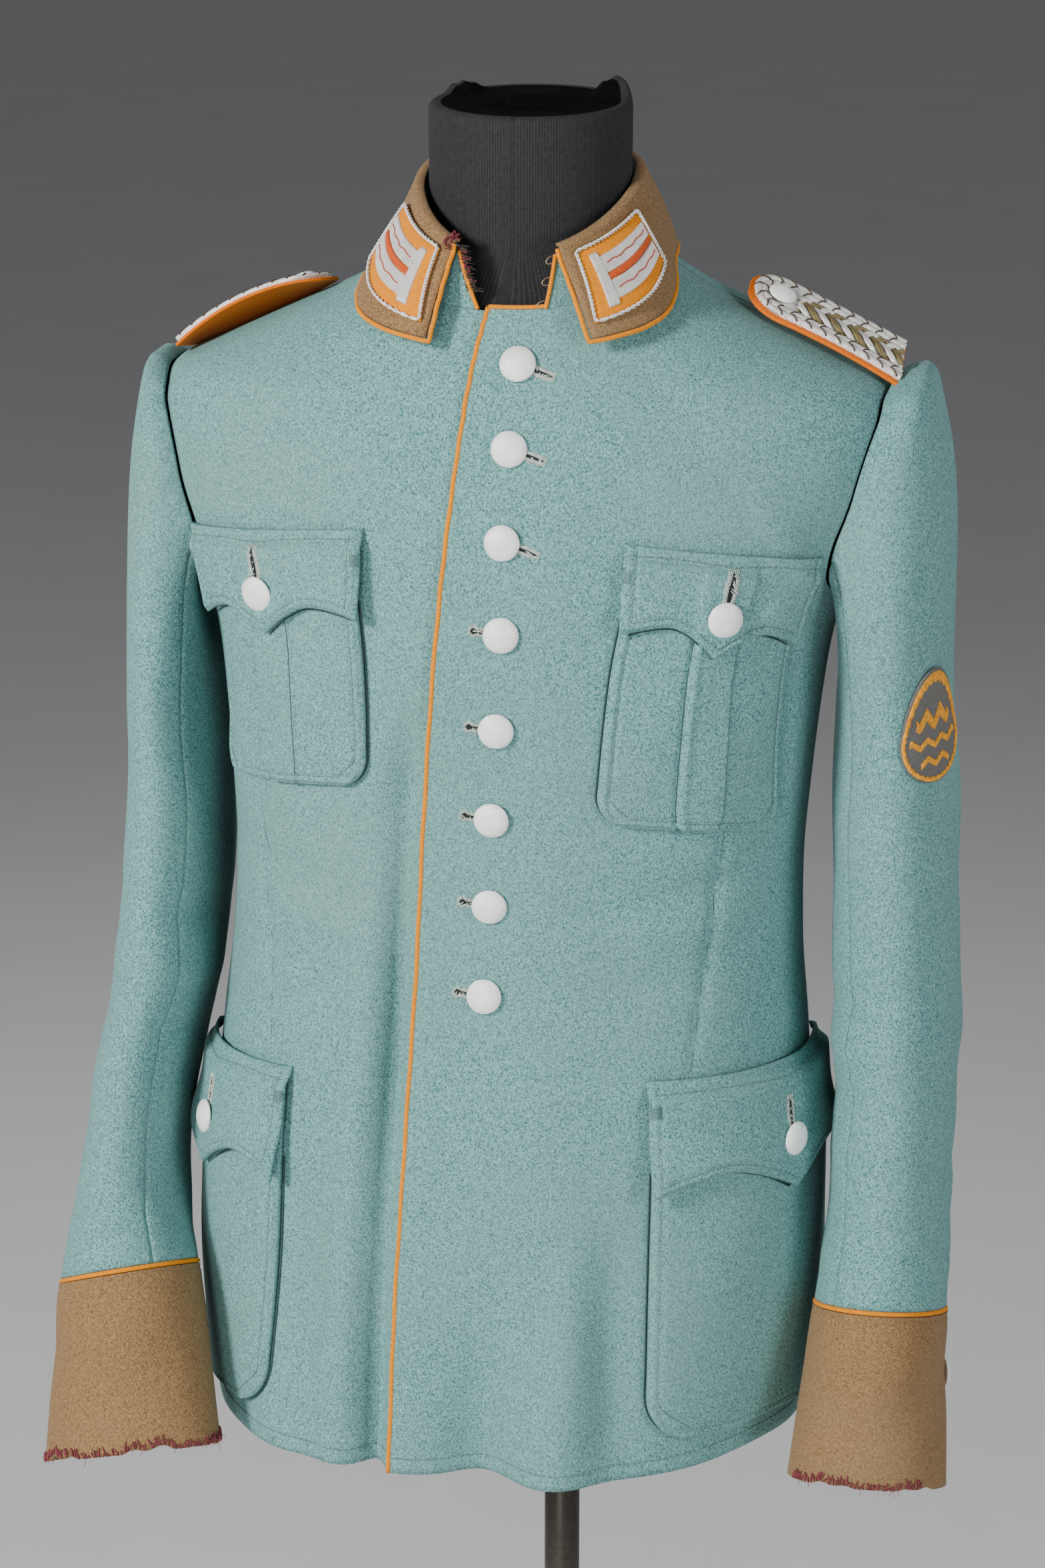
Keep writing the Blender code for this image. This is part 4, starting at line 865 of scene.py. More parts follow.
def collar_turn(s, ends):
    """Angle round the neck for s from -1 at the wearer's right end to 1 at the left."""
    end = np.where(s < 0, ends[0], ends[1])
    return np.pi - s * (np.pi - np.radians(end))


def fold_line(s):
    """Middle of the collar's fold, an oval that is higher behind, and its level outward direction."""
    turn = collar_turn(s, FOLD_ENDS)
    cosine = np.cos(turn)
    height = 1.4585 - 0.0235 * cosine - 0.0110 * cosine ** 2
    depth = np.where(cosine > 0, FOLD_FRONT, FOLD_BACK)
    x = FOLD_HALF_WIDTH * np.sin(turn) + LEAN * (height - LEAN_FROM)
    out = unit(np.stack([np.sin(turn) / FOLD_HALF_WIDTH, -cosine / depth, 0 * turn], axis=-1))
    return np.stack([x, FOLD_MIDDLE_Y - depth * cosine, height], axis=-1), out


def on_neck(turn, height, lift):
    """Point of the trunk at an angle round the neck, on the lap where the left front has one."""
    turn = np.arctan2(np.sin(turn), np.cos(turn))
    across = across_at(turn, height)
    face = np.where(np.abs(turn) <= np.pi / 2, -1, 1)
    own = np.where((face < 0) & (across > -0.009), relief(1, across, height), 0.0)
    return trunk(across, height, face, lift + own, folds=False)[0]


def stand_point(s, w, lift=0.0):
    """Outer face of the stand, straight but for a slight bow, from neck seam (w 0) to fold (w 1)."""
    s, w = np.broadcast_arrays(np.asarray(s, float), np.asarray(w, float))
    turn = collar_turn(s, STAND_ENDS)
    base = on_neck(turn, neckline(turn), 0.0) - np.array([0, 0, 0.0010])
    fold, out = fold_line(s)
    w = w[..., None]
    bow = 0.0015 * 4 * w * (1 - w)
    return base + (fold - base) * w + out * (bow + lift)


def fall_point(s, w, lift=0.0):
    """Outer face of the fall: an arc over the fold up to w 0.3, then a quadratic curve down to
    the edge just above the shoulder, with soft dents."""
    s, w = np.broadcast_arrays(np.asarray(s, float), np.asarray(w, float))
    lift = np.broadcast_to(lift, s.shape)[..., None]
    fold, out = fold_line(s)
    up = np.array([0.0, 0.0, 1.0])
    middle = fold + out * 0.0002 - up * 0.0010
    angle = np.radians(125) * (1 - np.clip(w / 0.3, 0, 1))[..., None]
    roll = middle + (ROLL + lift) * (np.cos(angle) * out + np.sin(angle) * up)
    turn = collar_turn(s, FALL_ENDS)
    cosine = np.cos(turn)
    in_front = 1.4145 - 0.0170 * cosine - 0.0240 * cosine ** 2
    height = np.where(cosine > 0, in_front, 1.4145 - 0.0140 * cosine)
    raised = 0.0064 + 0.0060 * ease((np.abs(s) - 0.80) / 0.20)
    edge = on_neck(turn, height, raised)
    start = middle + ROLL * out
    bend = start + (edge - start) * 0.45 + out * 0.0020 + up * 0.0010
    t = ((w - 0.3) / 0.7)[..., None]
    down = (1 - t) ** 2 * start + 2 * t * (1 - t) * bend + t * t * edge
    dent = creased(s, w, FALL_DENTS) * ease((w - 0.3) / 0.2) * ease((0.97 - np.abs(s)) / 0.1)
    face = out * 0.75 + up * 0.66
    return np.where((w <= 0.3)[..., None], roll, down + face * (lift + dent[..., None]))


def surface_normal(surface, s, w, step=0.004):
    """Outward normals of a collar surface from its neighbours along both directions."""
    s, w = np.broadcast_arrays(np.asarray(s, float), np.asarray(w, float))
    along = surface(np.minimum(s + step, 1), w) - surface(np.maximum(s - step, -1), w)
    down = surface(s, np.minimum(w + step, 1)) - surface(s, np.maximum(w - step, 0))
    return unit(np.cross(along, down))


collar_s = np.linspace(-1, 1, 190)[None, :]
stand_w = np.linspace(0, 1, 16)[:, None]
outer = stand_point(collar_s, stand_w)
level = unit(surface_normal(stand_point, collar_s, stand_w) * np.array([1.0, 1.0, 0.0]))
cloth("cloth_collar_stand", "collar_stand", outer, -level, CLOTH, GREEN_WOOL)
fall_w = np.concatenate([np.linspace(0, 0.3, 13), np.linspace(0.3, 1, 28)[1:]])[:, None]
outer = fall_point(collar_s, fall_w)
normal = surface_normal(fall_point, collar_s, fall_w)
cloth("cloth_collar_fall", "collar_fall", outer, normal, CLOTH, BROWN_WOOL)

# The piping sits 0.9 mm outside the fall, which is 52 mm deep and 190 mm long to each side
OUT_W = 1 + 0.0009 / 0.052
OUT_S = 1 + 0.0009 / 0.190
down = np.linspace(0.22, OUT_W, 34)
around = np.linspace(-OUT_S, OUT_S, 220)
s_path = np.concatenate([np.full(33, -OUT_S), around, np.full(33, OUT_S)])
w_path = np.concatenate([down[:-1], np.full(220, OUT_W), down[-2::-1]])
wobble = 0.00022 * np.sin(np.arange(len(s_path)) * 0.9)
add_tubes("piping_of_collar", fall_point(s_path, w_path, -CLOTH / 2 + wobble)[None], PIPING * 0.92,
          ORANGE_FELT, ("piping_collar",), sides=10)
stand_pipes = []
for side in (1, -1):
    w = np.linspace(0.03, 0.93, 40)
    s = np.full(40, side * 1.0)
    edge = stand_point(s, w, 0.0002)
    inward = unit(stand_point(s, w) - stand_point(s - side * 0.02, w))
    stand_pipes.append(edge + inward * PIPING * 0.45)
add_tubes("piping_of_stand", np.array(stand_pipes), PIPING * 0.85, ORANGE_FELT, sides=10)

# Piping down the left front's edge and along its top corner to the stand's end
rows = np.linspace(0, 2, 260)
outer, normal = front_panel(1, np.array([0.0, 0.02]), rows)
beside = unit(outer[:, 0] - outer[:, 1])
edge_path = outer[:, 0] + beside * 0.0011 - normal[:, 0] * 0.0007
edge_path = edge_path + beside * (0.0002 * np.sin(rows * 61))[:, None]
add_tubes("piping_of_front", edge_path[None], PIPING, ORANGE_FELT, ("piping_front",),
          sides=10)
corner_turn = angle_at(left_start(1.396), 1.396)
turns = np.linspace(corner_turn - 0.02, np.radians(STAND_ENDS[1]) + 0.01, 40)
top_path = on_neck(turns, neckline(turns) + 0.0010, 0.0002)
add_tubes("piping_of_neck_corner", top_path[None], PIPING * 0.85, ORANGE_FELT, sides=10)

# The patch pockets: bellied bags sewn on by their edges, a pleat down each chest one, under
# flaps cut to a point. Flaps and bags are stitched all round close to the edge.
POCKETS = columns(("kind", "side", "across", "height", "width", "drop", "slant", "depth", "flap", "corner",
                   "flare", "lean"), (
    (0, 1, 0.0745, 1.267, 0.100, 0.166, 0.013, 0.0050, 0.0420, 0.018, 0.26, 0.11),
    (0, -1, 0.0730, 1.270, 0.111, 0.152, 0.012, 0.0050, 0.0430, 0.018, 0.12, 0.12),
    (1, 1, 0.1080, 0.943, 0.186, 0.229, 0.010, 0.0065, 0.0575, 0.030, 0.0, 0.0),
    (1, -1, 0.1280, 0.934, 0.132, 0.222, 0.010, 0.0048, 0.0575, 0.030, 0.0, 0.0)))
POCKET_KINDS = ("chest", "skirt")
PLEAT_HALF = 0.235
PLEAT_STEP = 0.030
PLEAT_LIFT = 0.0018
POCKET_CLEAR = 0.0020
FLAP_CLOTH = 0.0024
FLAP_EDGE = 0.0021
FLAP_OVERHANG = 0.003
BAG_BELOW_FLAP_TOP = 0.022
STITCH_IN = 0.0055
STITCH_LONG = 0.0024
THREAD = 0.00030
ON_CLOTH = 0.0001
POCKET_SIDES = [(kind, side, word) for kind in POCKET_KINDS for side, word in HANDS]


def tape_angle(distance, height):
    """Angle round the trunk that a tape from the centre front reads as a distance."""
    turn = np.linspace(0, np.pi, 361)
    across = across_at(turn, height)
    reach = np.clip(np.abs(across) / size("half_width", height), 0, 1)
    depth = (1 - reach ** BULGE) ** (1 / BULGE)
    forward = np.where(turn <= np.pi / 2, -size("front", height), size("back", height)) * depth
    length = np.hypot(np.diff(across), np.diff(forward))
    return np.interp(distance, np.concatenate([[0], np.cumsum(length)]), turn)


def pocket_row(kind, side):
    """A pocket's own row of the table."""
    line = (POCKETS["kind"] == POCKET_KINDS.index(kind)) & (POCKETS["side"] == side)
    return {name: values[line][0] for name, values in POCKETS.items()}


def pocket_point(kind, side, q, drop, lift):
    """Point over a pocket: q from -1 at its front side to 1, drop below its top edge."""
    row = pocket_row(kind, side)
    distance = row["across"] + row["width"] * (q + 1) / 2
    height = row["height"] - drop - row["slant"] * (q + 1) / 2
    turn = tape_angle(distance, row["height"] - row["drop"] / 2)
    face = np.where(turn <= np.pi / 2, -1, 1)
    return front_point(side, side * across_at(turn, height), height, lift, face)


def bag_relief(kind, side, q, drop):
    """Height of a bag's face over its panel: full in the middle, pleated on the chest."""
    row = pocket_row(kind, side)
    full = row["depth"] * (1 + 0.35 * (1 - q ** 2) * np.sin(np.pi * np.clip(drop / row["drop"], 0, 1)))
    pleat = PLEAT_LIFT * (1 - ease((np.abs(q) - PLEAT_HALF) / PLEAT_STEP)) if kind == "chest" else 0.0
    return full + pleat


def bag_across(kind, side, q, drop):
    """Place across a pocket at a drop: it widens by the flare about a middle that leans outward,
    and the bottom corners are round."""
    row = pocket_row(kind, side)
    into = np.clip(drop - (row["drop"] - row["corner"]), 0, row["corner"])
    cut = row["corner"] - np.sqrt(row["corner"] ** 2 - into ** 2)
    down = drop / row["drop"]
    return q * (1 + row["flare"] * down - 2 * cut / row["width"]) + row["lean"] * down


def flap_drop(kind, q):
    """Length of a flap below its top edge: corners and a middle point with hollows between."""
    deep = (0.0185, 0.0125) if kind == "skirt" else (0.0150, 0.0075)
    point = deep[0] * np.clip(1 - np.abs(q) / 0.5, 0, 1) ** 1.6
    ends = deep[1] * np.clip((np.abs(q) - 0.5) / 0.5, 0, 1) ** 1.6
    return point + ends


def rolled(edge_distance):
    """Relief of a stitched edge: it rounds away at the rim, and dips along the stitching."""
    rim = -0.0026 * (1 - ease(edge_distance / 0.0034))
    return rim - 0.0013 * bell(edge_distance - STITCH_IN, 0.0012)


def bag_surface(kind, side, q, drop, lift=0.0):
    """Outer face of a bag with its rolled edge, its pleat's folded line and a few soft dents."""
    row = pocket_row(kind, side)
    narrowed = bag_across(kind, side, q, drop)
    to_side = (1 - np.abs(q)) * row["width"] / 2
    to_edge = np.minimum(to_side, row["drop"] - drop)
    full = bag_relief(kind, side, q, drop) + rolled(to_edge)
    if kind == "chest":
        fold = (q + side * PLEAT_HALF) * row["width"] / 2
        full = full - 0.0034 * bell(fold, 0.0011) + 0.0010 * bell(fold - 0.003, 0.002)
    sag = 0.0011 * np.sin(4.3 * q + 31 * drop + side) * np.sin(19 * drop + 2.1 * q) * (1 - q ** 2)
    return pocket_point(kind, side, narrowed, drop, POCKET_CLEAR + full + sag + lift)


def flap_surface(kind, side, q, t, lift=0.0):
    """Outer face of a flap: over the bag's relief, its edges rolled. t is 0 at its top."""
    row = pocket_row(kind, side)
    long = row["flap"] + flap_drop(kind, q)
    drop = t * long
    overhang = FLAP_OVERHANG + (0.0045 * (1 - t) if kind == "chest" else 0.0)
    wide = q * (1 + overhang * 2 / row["width"])
    to_edge = np.minimum((1 - np.abs(q)) * row["width"] / 2, (1 - t) * long)
    over_bag = ease((drop - 0.002) / 0.010)
    high = over_bag * (bag_relief(kind, side, q, drop) + 0.0010) + FLAP_CLOTH
    corner = ease((np.abs(q) - 0.82) / 0.18) * ease((t - 0.55) / 0.45)
    curl = (0.0030 if kind == "skirt" else 0.0012) * corner
    hang = (0.0050 if kind == "skirt" else 0.0036) * ease((t - 0.40) / 0.60)
    ripple = 0.0006 * np.sin(9 * q + 2 * side) * t
    top_fold = 0.0009 * bell(drop - 0.0025, 0.0022)
    high = high + rolled(to_edge) + curl + hang + ripple + top_fold
    return pocket_point(kind, side, wide, drop, POCKET_CLEAR + high + lift)


def along_path(path, out, pitch, share):
    """Start and end points of even stitches along a path, and the outward direction at each."""
    length = np.concatenate([[0], np.cumsum(np.linalg.norm(np.diff(path, axis=0), axis=1))])
    start = np.arange(0.0, length[-1] - pitch, pitch)

    def at(distance, values):
        """Values at distances along the path, in proportion between its points."""
        return np.stack([np.interp(distance, length, values[:, k]) for k in range(3)], axis=-1)

    return at(start, path), at(start + pitch * share, path), at(start, out)


def stitching(name, lines, pitch=STITCH_LONG * 1.3):
    """Rows of short raised threads along paths that lie on the cloth, as one piece."""
    rows = [along_path(path, out, pitch, 0.77) for path, out in lines]
    a, b, up = (np.concatenate(part) for part in zip(*rows))
    return add_tubes(name, arched(a, b, up, 0.00028), THREAD, GREEN_THREAD, sides=5)


GREEN_THREAD = plain("green_thread", (0.120, 0.205, 0.190), speck=0.3)
# Places across a pocket, closer together towards its edges
EVEN = np.linspace(-1, 1, 89)
SPAN = 0.72 * EVEN + 0.28 * np.sin(np.pi / 2 * EVEN)
for kind, side, word in POCKET_SIDES:
    row = pocket_row(kind, side)
    corner = row["corner"]
    ends = row["drop"] - corner * (1 - np.sin(np.linspace(0, np.pi / 2, 18)))
    drops = np.concatenate([np.linspace(BAG_BELOW_FLAP_TOP, ends[0], 52)[:-1], ends])
    drops[-1] = row["drop"] - corner * 0.002
    q, drop = SPAN[None, :], drops[:, None]
    outer = bag_surface(kind, side, q, drop)[0]
    inner = pocket_point(kind, side, bag_across(kind, side, q, drop), drop, POCKET_CLEAR - 0.0004 + 0 * q)[0]
    bag = wall("cloth_pocket_%s_%s" % (kind, word), outer, inner, GREEN_WOOL,
               ("pocket_%s_%s" % (kind, word),))
    inset = 1 - 2 * STITCH_IN / row["width"]
    low = np.linspace(BAG_BELOW_FLAP_TOP + 0.01, row["drop"] - STITCH_IN - corner * 0.75, 80)
    turn_drop = np.linspace(low[-1], row["drop"] - STITCH_IN, 30)[1:]
    turned_in = 1 - 0.16 * ease((turn_drop - low[-1]) / (turn_drop[-1] - low[-1]))
    side_q = inset * np.concatenate([np.full(80, 1.0), turned_in])
    side_drop = np.concatenate([low, turn_drop])
    base_q = np.linspace(-inset * 0.84, inset * 0.84, 90)
    lines = [bag_surface(kind, side, sign * side_q, side_drop, ON_CLOTH) for sign in (-1, 1)]
    lines.append(bag_surface(kind, side, base_q, np.full(90, row["drop"] - STITCH_IN), ON_CLOTH))
    sewn = stitching("stitches_bag_%s_%s" % (kind, word), lines)

    outer, normal = flap_surface(kind, side, SPAN[None, :], np.linspace(0, 1, 46)[:, None])
    flap = wall("cloth_flap_%s_%s" % (kind, word), outer, outer - normal * FLAP_EDGE, GREEN_WOOL,
                ("flap_%s_%s" % (kind, word),))
    low_t = 1 - STITCH_IN / (row["flap"] + flap_drop(kind, SPAN * inset))
    down_t = np.linspace(0.05, low_t[0], 60)
    lines = [flap_surface(kind, side, SPAN * inset, low_t, ON_CLOTH)]
    lines += [flap_surface(kind, side, np.full(60, sign * inset), down_t, ON_CLOTH) for sign in (-1, 1)]
    lines.append(flap_surface(kind, side, SPAN * 0.97, np.full(len(SPAN), 0.11), ON_CLOTH))
    sewn = stitching("stitches_flap_%s_%s" % (kind, word), lines)
    bar = np.linspace(0.93, 1.0, 4)
    bars = [flap_surface(kind, side, bar * sign, np.full(4, place / row["flap"]), 0.0004)[0]
            for sign in (-1, 1) for place in 0.012 + 0.0009 * np.arange(7)]
    bar = add_tubes("bars_%s_%s" % (kind, word), np.array(bars), 0.00032, GREEN_THREAD, sides=5)

# The buttons: pressed white aluminium domes with a pebbled face and a plain rim
FRONT_BUTTON = 0.0105
BOARD_BUTTON = 0.0084
CUFF_BUTTON = 0.0085
BUTTON_GAP = 0.0006
BUTTON_DOWN = 0.80
CUFF_BUTTON_TURN = 0.93
CUFF_BUTTON_ROW = CUFF_ROW + 0.45
BUTTON_SHAPE = ((0.00, -0.02), (0.50, -0.02), (0.72, 0.00), (0.93, 0.03), (0.99, 0.08), (1.00, 0.12),
                (0.985, 0.17), (0.94, 0.22), (0.92, 0.235), (0.85, 0.30), (0.72, 0.37), (0.55, 0.43),
                (0.36, 0.475), (0.18, 0.495), (0.00, 0.50))
FRONT_BUTTONS = columns(("across", "height"), (
    (0.0107, 1.3653),
    (0.0089, 1.3194),
    (0.0077, 1.2673),
    (0.0088, 1.2146),
    (0.0070, 1.1577),
    (0.0051, 1.1029),
    (0.0048, 1.0498),
    (0.0033, 0.9942)))


def pebbled(name):
    """Matt white metal: small rounded cells over the face, dulled in patches where it is worn."""
    material, shader, add, link = new_material(name)
    where = add("ShaderNodeTexCoord").outputs["Object"]
    cells = add("ShaderNodeTexVoronoi", Scale=1150.0, feature="SMOOTH_F1")
    wear = add("ShaderNodeTexNoise", Scale=160.0, Detail=3.0)
    link(where, cells.inputs["Vector"])
    link(where, wear.inputs["Vector"])
    worn = wear.outputs["Fac"]
    colour = two_tone(add, link, worn, (0.30, (0.86, 0.86, 0.85)), (0.62, (0.99, 0.99, 0.985)))
    link(colour, shader.inputs["Base Color"])
    rough = add("ShaderNodeMapRange")
    settle(rough, To_Min=0.55, To_Max=0.38)
    link(worn, rough.inputs["Value"])
    link(rough.outputs[0], shader.inputs["Roughness"])
    bumped(add, link, shader, cells.outputs["Distance"], 0.7, 0.0005, invert=True)
    settle(shader, Metallic=0.08)
    return material


def capped(rings, poles):
    """Points and faces of a skin over rings of points, closed by a fan to each of its two poles."""
    rows, sides = rings.shape[:2]
    index = np.arange(sides)
    last = (rows - 1) * sides + index
    faces = grid_faces(rows, sides, 1, True).tolist()
    faces += np.stack([np.roll(index, -1), index, 0 * index + rows * sides], axis=-1).tolist()
    faces += np.stack([last, np.roll(last, -1), 0 * last + rows * sides + 1], axis=-1).tolist()
    return np.concatenate([rings.reshape(-1, 3), poles]), faces


def add_turned(name, profile, seat, normal, radius, material, nodes, gap=0.0, sides=40, place=PLACE):
    """A piece turned on the axis through its seat: its profile's reach and rise times a radius."""
    normal = unit(np.asarray(normal, float))
    right = unit(np.cross((0.02, 0.03, 1.0), normal))
    up = np.cross(normal, right)
    turn = np.arange(sides)[None, :, None] * 2 * np.pi / sides
    profile = np.array(profile) * radius
    reach = profile[1:-1, 0][:, None, None]
    rise = profile[1:-1, 1][:, None, None] + gap
    rings = seat + rise * normal + reach * (np.cos(turn) * right + np.sin(turn) * up)
    points, faces = capped(rings, [seat + normal * (profile[k, 1] + gap) for k in (0, -1)])
    add_piece(name, points, faces, material, nodes, place=place, sharp=50)


PEBBLED = pebbled("pebbled_aluminium")
SEATS = {}
for k, (across, height) in enumerate(zip(FRONT_BUTTONS["across"], FRONT_BUTTONS["height"]), 1):
    SEATS["front_%d" % k] = (*front_point(1, across, height), FRONT_BUTTON)
for kind, side, word in POCKET_SIDES:
    long = pocket_row(kind, side)["flap"]
    share = np.array(BUTTON_DOWN * long / (long + flap_drop(kind, 0.0)))
    SEATS["%s_%s" % (kind, word)] = (*flap_surface(kind, side, np.array(0.0), share), FRONT_BUTTON)
for side, word in HANDS:
    seat = sleeve_surface(side, CUFF_BUTTON_TURN, CUFF_BUTTON_ROW, 0.0008, worn=False)
    SEATS["cuff_" + word] = (*seat, CUFF_BUTTON)
for k, (name, (seat, normal, radius)) in enumerate(SEATS.items()):
    tilt = np.array([0.05 * np.sin(2.3 * k), 0.0, 0.06 * np.cos(1.7 * k)])
    add_turned("dome_" + name, BUTTON_SHAPE, seat, unit(normal) + tilt, radius, PEBBLED,
               ("button_" + name,), BUTTON_GAP)

# The dart seams, as fine dark lines pressed into the fronts: painted shade for the crease of each dart
# A dark green-black for lines of painted shade: in the dart creases, the gaps round the pockets and the
# pleat folds
PAINTED_SHADE_LINE = plain("painted_shade_line", (0.030, 0.075, 0.072), roughness=1.0, speck=0.3)
DART_LINE = 0.00034
BAG_GAP_LINE = 0.00065
FLAP_GAP_LINE = 0.00050
DEEP_PLEAT_LINE = 0.00048
FLAT_PLEAT_LINE = 0.00026
for k, (side, word) in enumerate(HANDS[::-1]):
    share = np.linspace(0, 1, 60)
    across = DARTS["across"][k] + (DARTS["to_across"][k] - DARTS["across"][k]) * share
    height = DARTS["height"][k] + (DARTS["to_height"][k] - DARTS["height"][k]) * share
    seam = front_point(side, across, height, -0.0001)[0]
    add_tubes("painted_shade_dart_" + word, seam[None], DART_LINE, PAINTED_SHADE_LINE, sides=6)

# Painted shade: dark cords laid in the gaps round the pocket bags, where their turned edges stand off the
# coat, under the flaps' lower edges, and along the folded edges of the chest pockets' pleats.
for kind, side, word in POCKET_SIDES:
    row = pocket_row(kind, side)
    round_corner = row["corner"] * (1 - np.sin(np.linspace(0, np.pi / 2, 14)[1:]))
    straight = np.linspace(row["flap"], row["drop"] - row["corner"], 40)
    fall = np.concatenate([straight, row["drop"] - round_corner])
    across = np.concatenate([np.full(53, -1.0), np.linspace(-1, 1, 60)[1:-1], np.full(53, 1.0)])
    drop = np.concatenate([fall, np.full(58, row["drop"]), fall[::-1]])
    beside = bag_across(kind, side, across, drop) * (1 + 0.0012 / row["width"])
    path = pocket_point(kind, side, beside, drop, 0.0007)[0]
    add_tubes("gap_%s_%s" % (kind, word), path[None], BAG_GAP_LINE, PAINTED_SHADE_LINE, sides=5)
    q = SPAN * 0.95
    under = row["flap"] + flap_drop(kind, q) + 0.0014
    path = pocket_point(kind, side, q, under, POCKET_CLEAR + bag_relief(kind, side, q, under) + 0.0002)[0]
    add_tubes("gap_flap_%s_%s" % (kind, word), path[None], FLAP_GAP_LINE, PAINTED_SHADE_LINE, sides=5)
    if kind == "chest":
        fall = np.linspace(row["flap"], row["drop"] - 0.006, 60)
        for name, edge, radius in (("deep", -side, DEEP_PLEAT_LINE), ("flat", side, FLAT_PLEAT_LINE)):
            path = bag_surface(kind, side, np.full(60, PLEAT_HALF * edge), fall, -ON_CLOTH)[0]
            add_tubes("pleat_%s_%s" % (name, word), path[None], radius, PAINTED_SHADE_LINE, sides=5)

# Buttonholes: slits worked round with pale thread. The top three show to one side of their
# buttons and the lower five to the other, gaping a little; the flaps have upright ones.
HOLE_PITCH = 0.00075
HOLE_STITCH = 0.0021
HOLE_BAR = (0.0024, 0.0014)
PALE_THREAD = plain("pale_thread", (0.560, 0.620, 0.560), speck=0.30)
SHADOW = plain("dark_gap", (0.012, 0.016, 0.016), roughness=1.0, speck=0.3)


def worked_hole(name, at, start, end, gape, eye=0.0, lift=0.00035):
    """A dark lens along a line on the cloth, painted shade in the open slit, with threads over its edges and
    a bar at its far end.

    at(x, y, lift) gives the point and normal for a place on the cloth in metres.
    """
    start, end = np.array(start), np.array(end)
    length = np.linalg.norm(end - start)
    ahead = (end - start) / length
    beside = np.array([-ahead[1], ahead[0]])
    t = np.linspace(0, 1, 28)[:, None]
    half = gape * np.sin(np.pi * (0.08 + 0.84 * t)) ** 0.5 + eye * bell(t - 0.88, 0.10)
    across = np.linspace(-1, 1, 5)[None, :] * half
    spot = start + (end - start) * t[..., None] + beside * across[..., None]
    outer, normal = at(spot[..., 0], spot[..., 1], lift * 0.6)
    wall(name + "_slit", outer, outer - normal * 0.0005, SHADOW)
    count = int(length / HOLE_PITCH)
    t = (np.arange(count) + 0.5) / count
    jitter = draw.uniform(-0.0004, 0.0004, (2, count))
    threads = []
    for k, sign in enumerate((-1, 1)):
        half = gape * np.sin(np.pi * t) ** 0.5 + eye * bell(t - 0.88, 0.10)
        edge = start + (end - start) * t[:, None] + beside * sign * half[:, None]
        far = edge + beside * sign * (HOLE_STITCH + jitter[k])[:, None] + ahead * 0.0003
        a, out = at(*edge.T, lift)
        threads.append((a, at(*far.T, 0.0)[0], out))
    bar = end + beside * (np.linspace(-1, 1, 6) * HOLE_BAR[0])[:, None]
    a, out = at(*bar.T, lift)
    threads.append((a, at(*(bar + ahead * HOLE_BAR[1]).T, 0.0)[0], out))
    frayed = draw.uniform(0.2, 1.0, 5)
    a, out = at(*(start + (end - start) * frayed[:, None]).T, lift)
    stray = out * 0.0006 + draw.normal(0, 0.0018, (5, 3)) * [1, 0.2, 1] - [0, 0, 0.0015]
    threads.append((a, a + stray, out))
    a, b, up = (np.concatenate(part) for part in zip(*threads))
    add_tubes(name + "_threads", arched(a, b, up, 0.0004), THREAD, PALE_THREAD, sides=5)


def on_left_front(across, height, lift):
    """A place on the lapped front."""
    return front_point(1, across, height, lift)


for k, (x, z) in enumerate(zip(FRONT_BUTTONS["across"], FRONT_BUTTONS["height"]), 1):
    name = "hole_front_%d" % k
    if k <= 3:
        worked_hole(name, on_left_front, (x + 0.004, z - 0.001), (x + 0.0205, z - 0.0065), 0.0009)
    else:
        worked_hole(name, on_left_front, (x - 0.004, z), (x - 0.0178, z + 0.0020), 0.0009, 0.0013)
for kind, side, word in POCKET_SIDES:
    row = pocket_row(kind, side)

    def on_flap(x, y, lift, kind=kind, side=side, row=row):
        """A place on the flap: x from its middle, y above its button."""
        q = np.asarray(x) * 2 / row["width"]
        share = (BUTTON_DOWN * row["flap"] - y) / (row["flap"] + flap_drop(kind, q))
        return flap_surface(kind, side, q, share, lift)

    worked_hole("hole_%s_%s" % (kind, word), on_flap, (0.0, 0.006), (0.0, 0.0255), 0.0012)

# Hem stitching ten millimetres up, all round
HEM_TURN = 0.010
hem_row = np.array([HEM_TURN / (ARMPIT - HEM)])
HEM_PATHS = ((front_panel, np.linspace(0.0, 0.995, 200)), (back_panel, np.linspace(0.01, 0.995, 160)))
lines = []
for side in (1, -1):
    for surface, u in HEM_PATHS:
        path, out = surface(side, u, hem_row, ON_CLOTH)
        lines.append((path[0], out[0]))
stitching("stitches_hem", lines, pitch=0.0042)

# Shoulder boards: a stiff strip of orange felt under a flat braid. Two silver cords run round
# its edge, stitched in chevrons, and silver and bronze cords are plaited down the middle.
BOARD_HALF = 0.0225
BOARD_FELT = 0.0018
BOARDS = {
    1: {"inner": (0.138, 0.000), "outer": (0.229, -0.002), "roll": 22.0, "arch": 0.003, "seat": 0.0034},
    -1: {"inner": (-0.105, 0.002), "outer": (-0.198, 0.000), "roll": -9.0, "arch": 0.009, "seat": -0.0001}}
CORD_LIFT = 0.0041
LANES = (0.0184, 0.0140)
PLAIT_HALF = 0.0082
PLAIT_PITCH = 0.0290
FELT_OUT = 0.0013
ROUND_SHARE = 0.24
EDGE_CORD = 0.00245
PLAIT_CORD = 0.00145
CHEVRON_THREAD = 0.00048
CHEVRON_PITCH = 0.0094
CHEVRON_SLANT = 0.0048


def ridge_height(x):
    """Height of the shoulder's ridge at a distance to the side."""
    heights = np.linspace(SHOULDER_TIP, 1.43, 60)
    reach = size("half_width", heights) + np.sign(x) * LEAN * (heights - LEAN_FROM)
    return np.interp(-abs(x), -reach, heights)


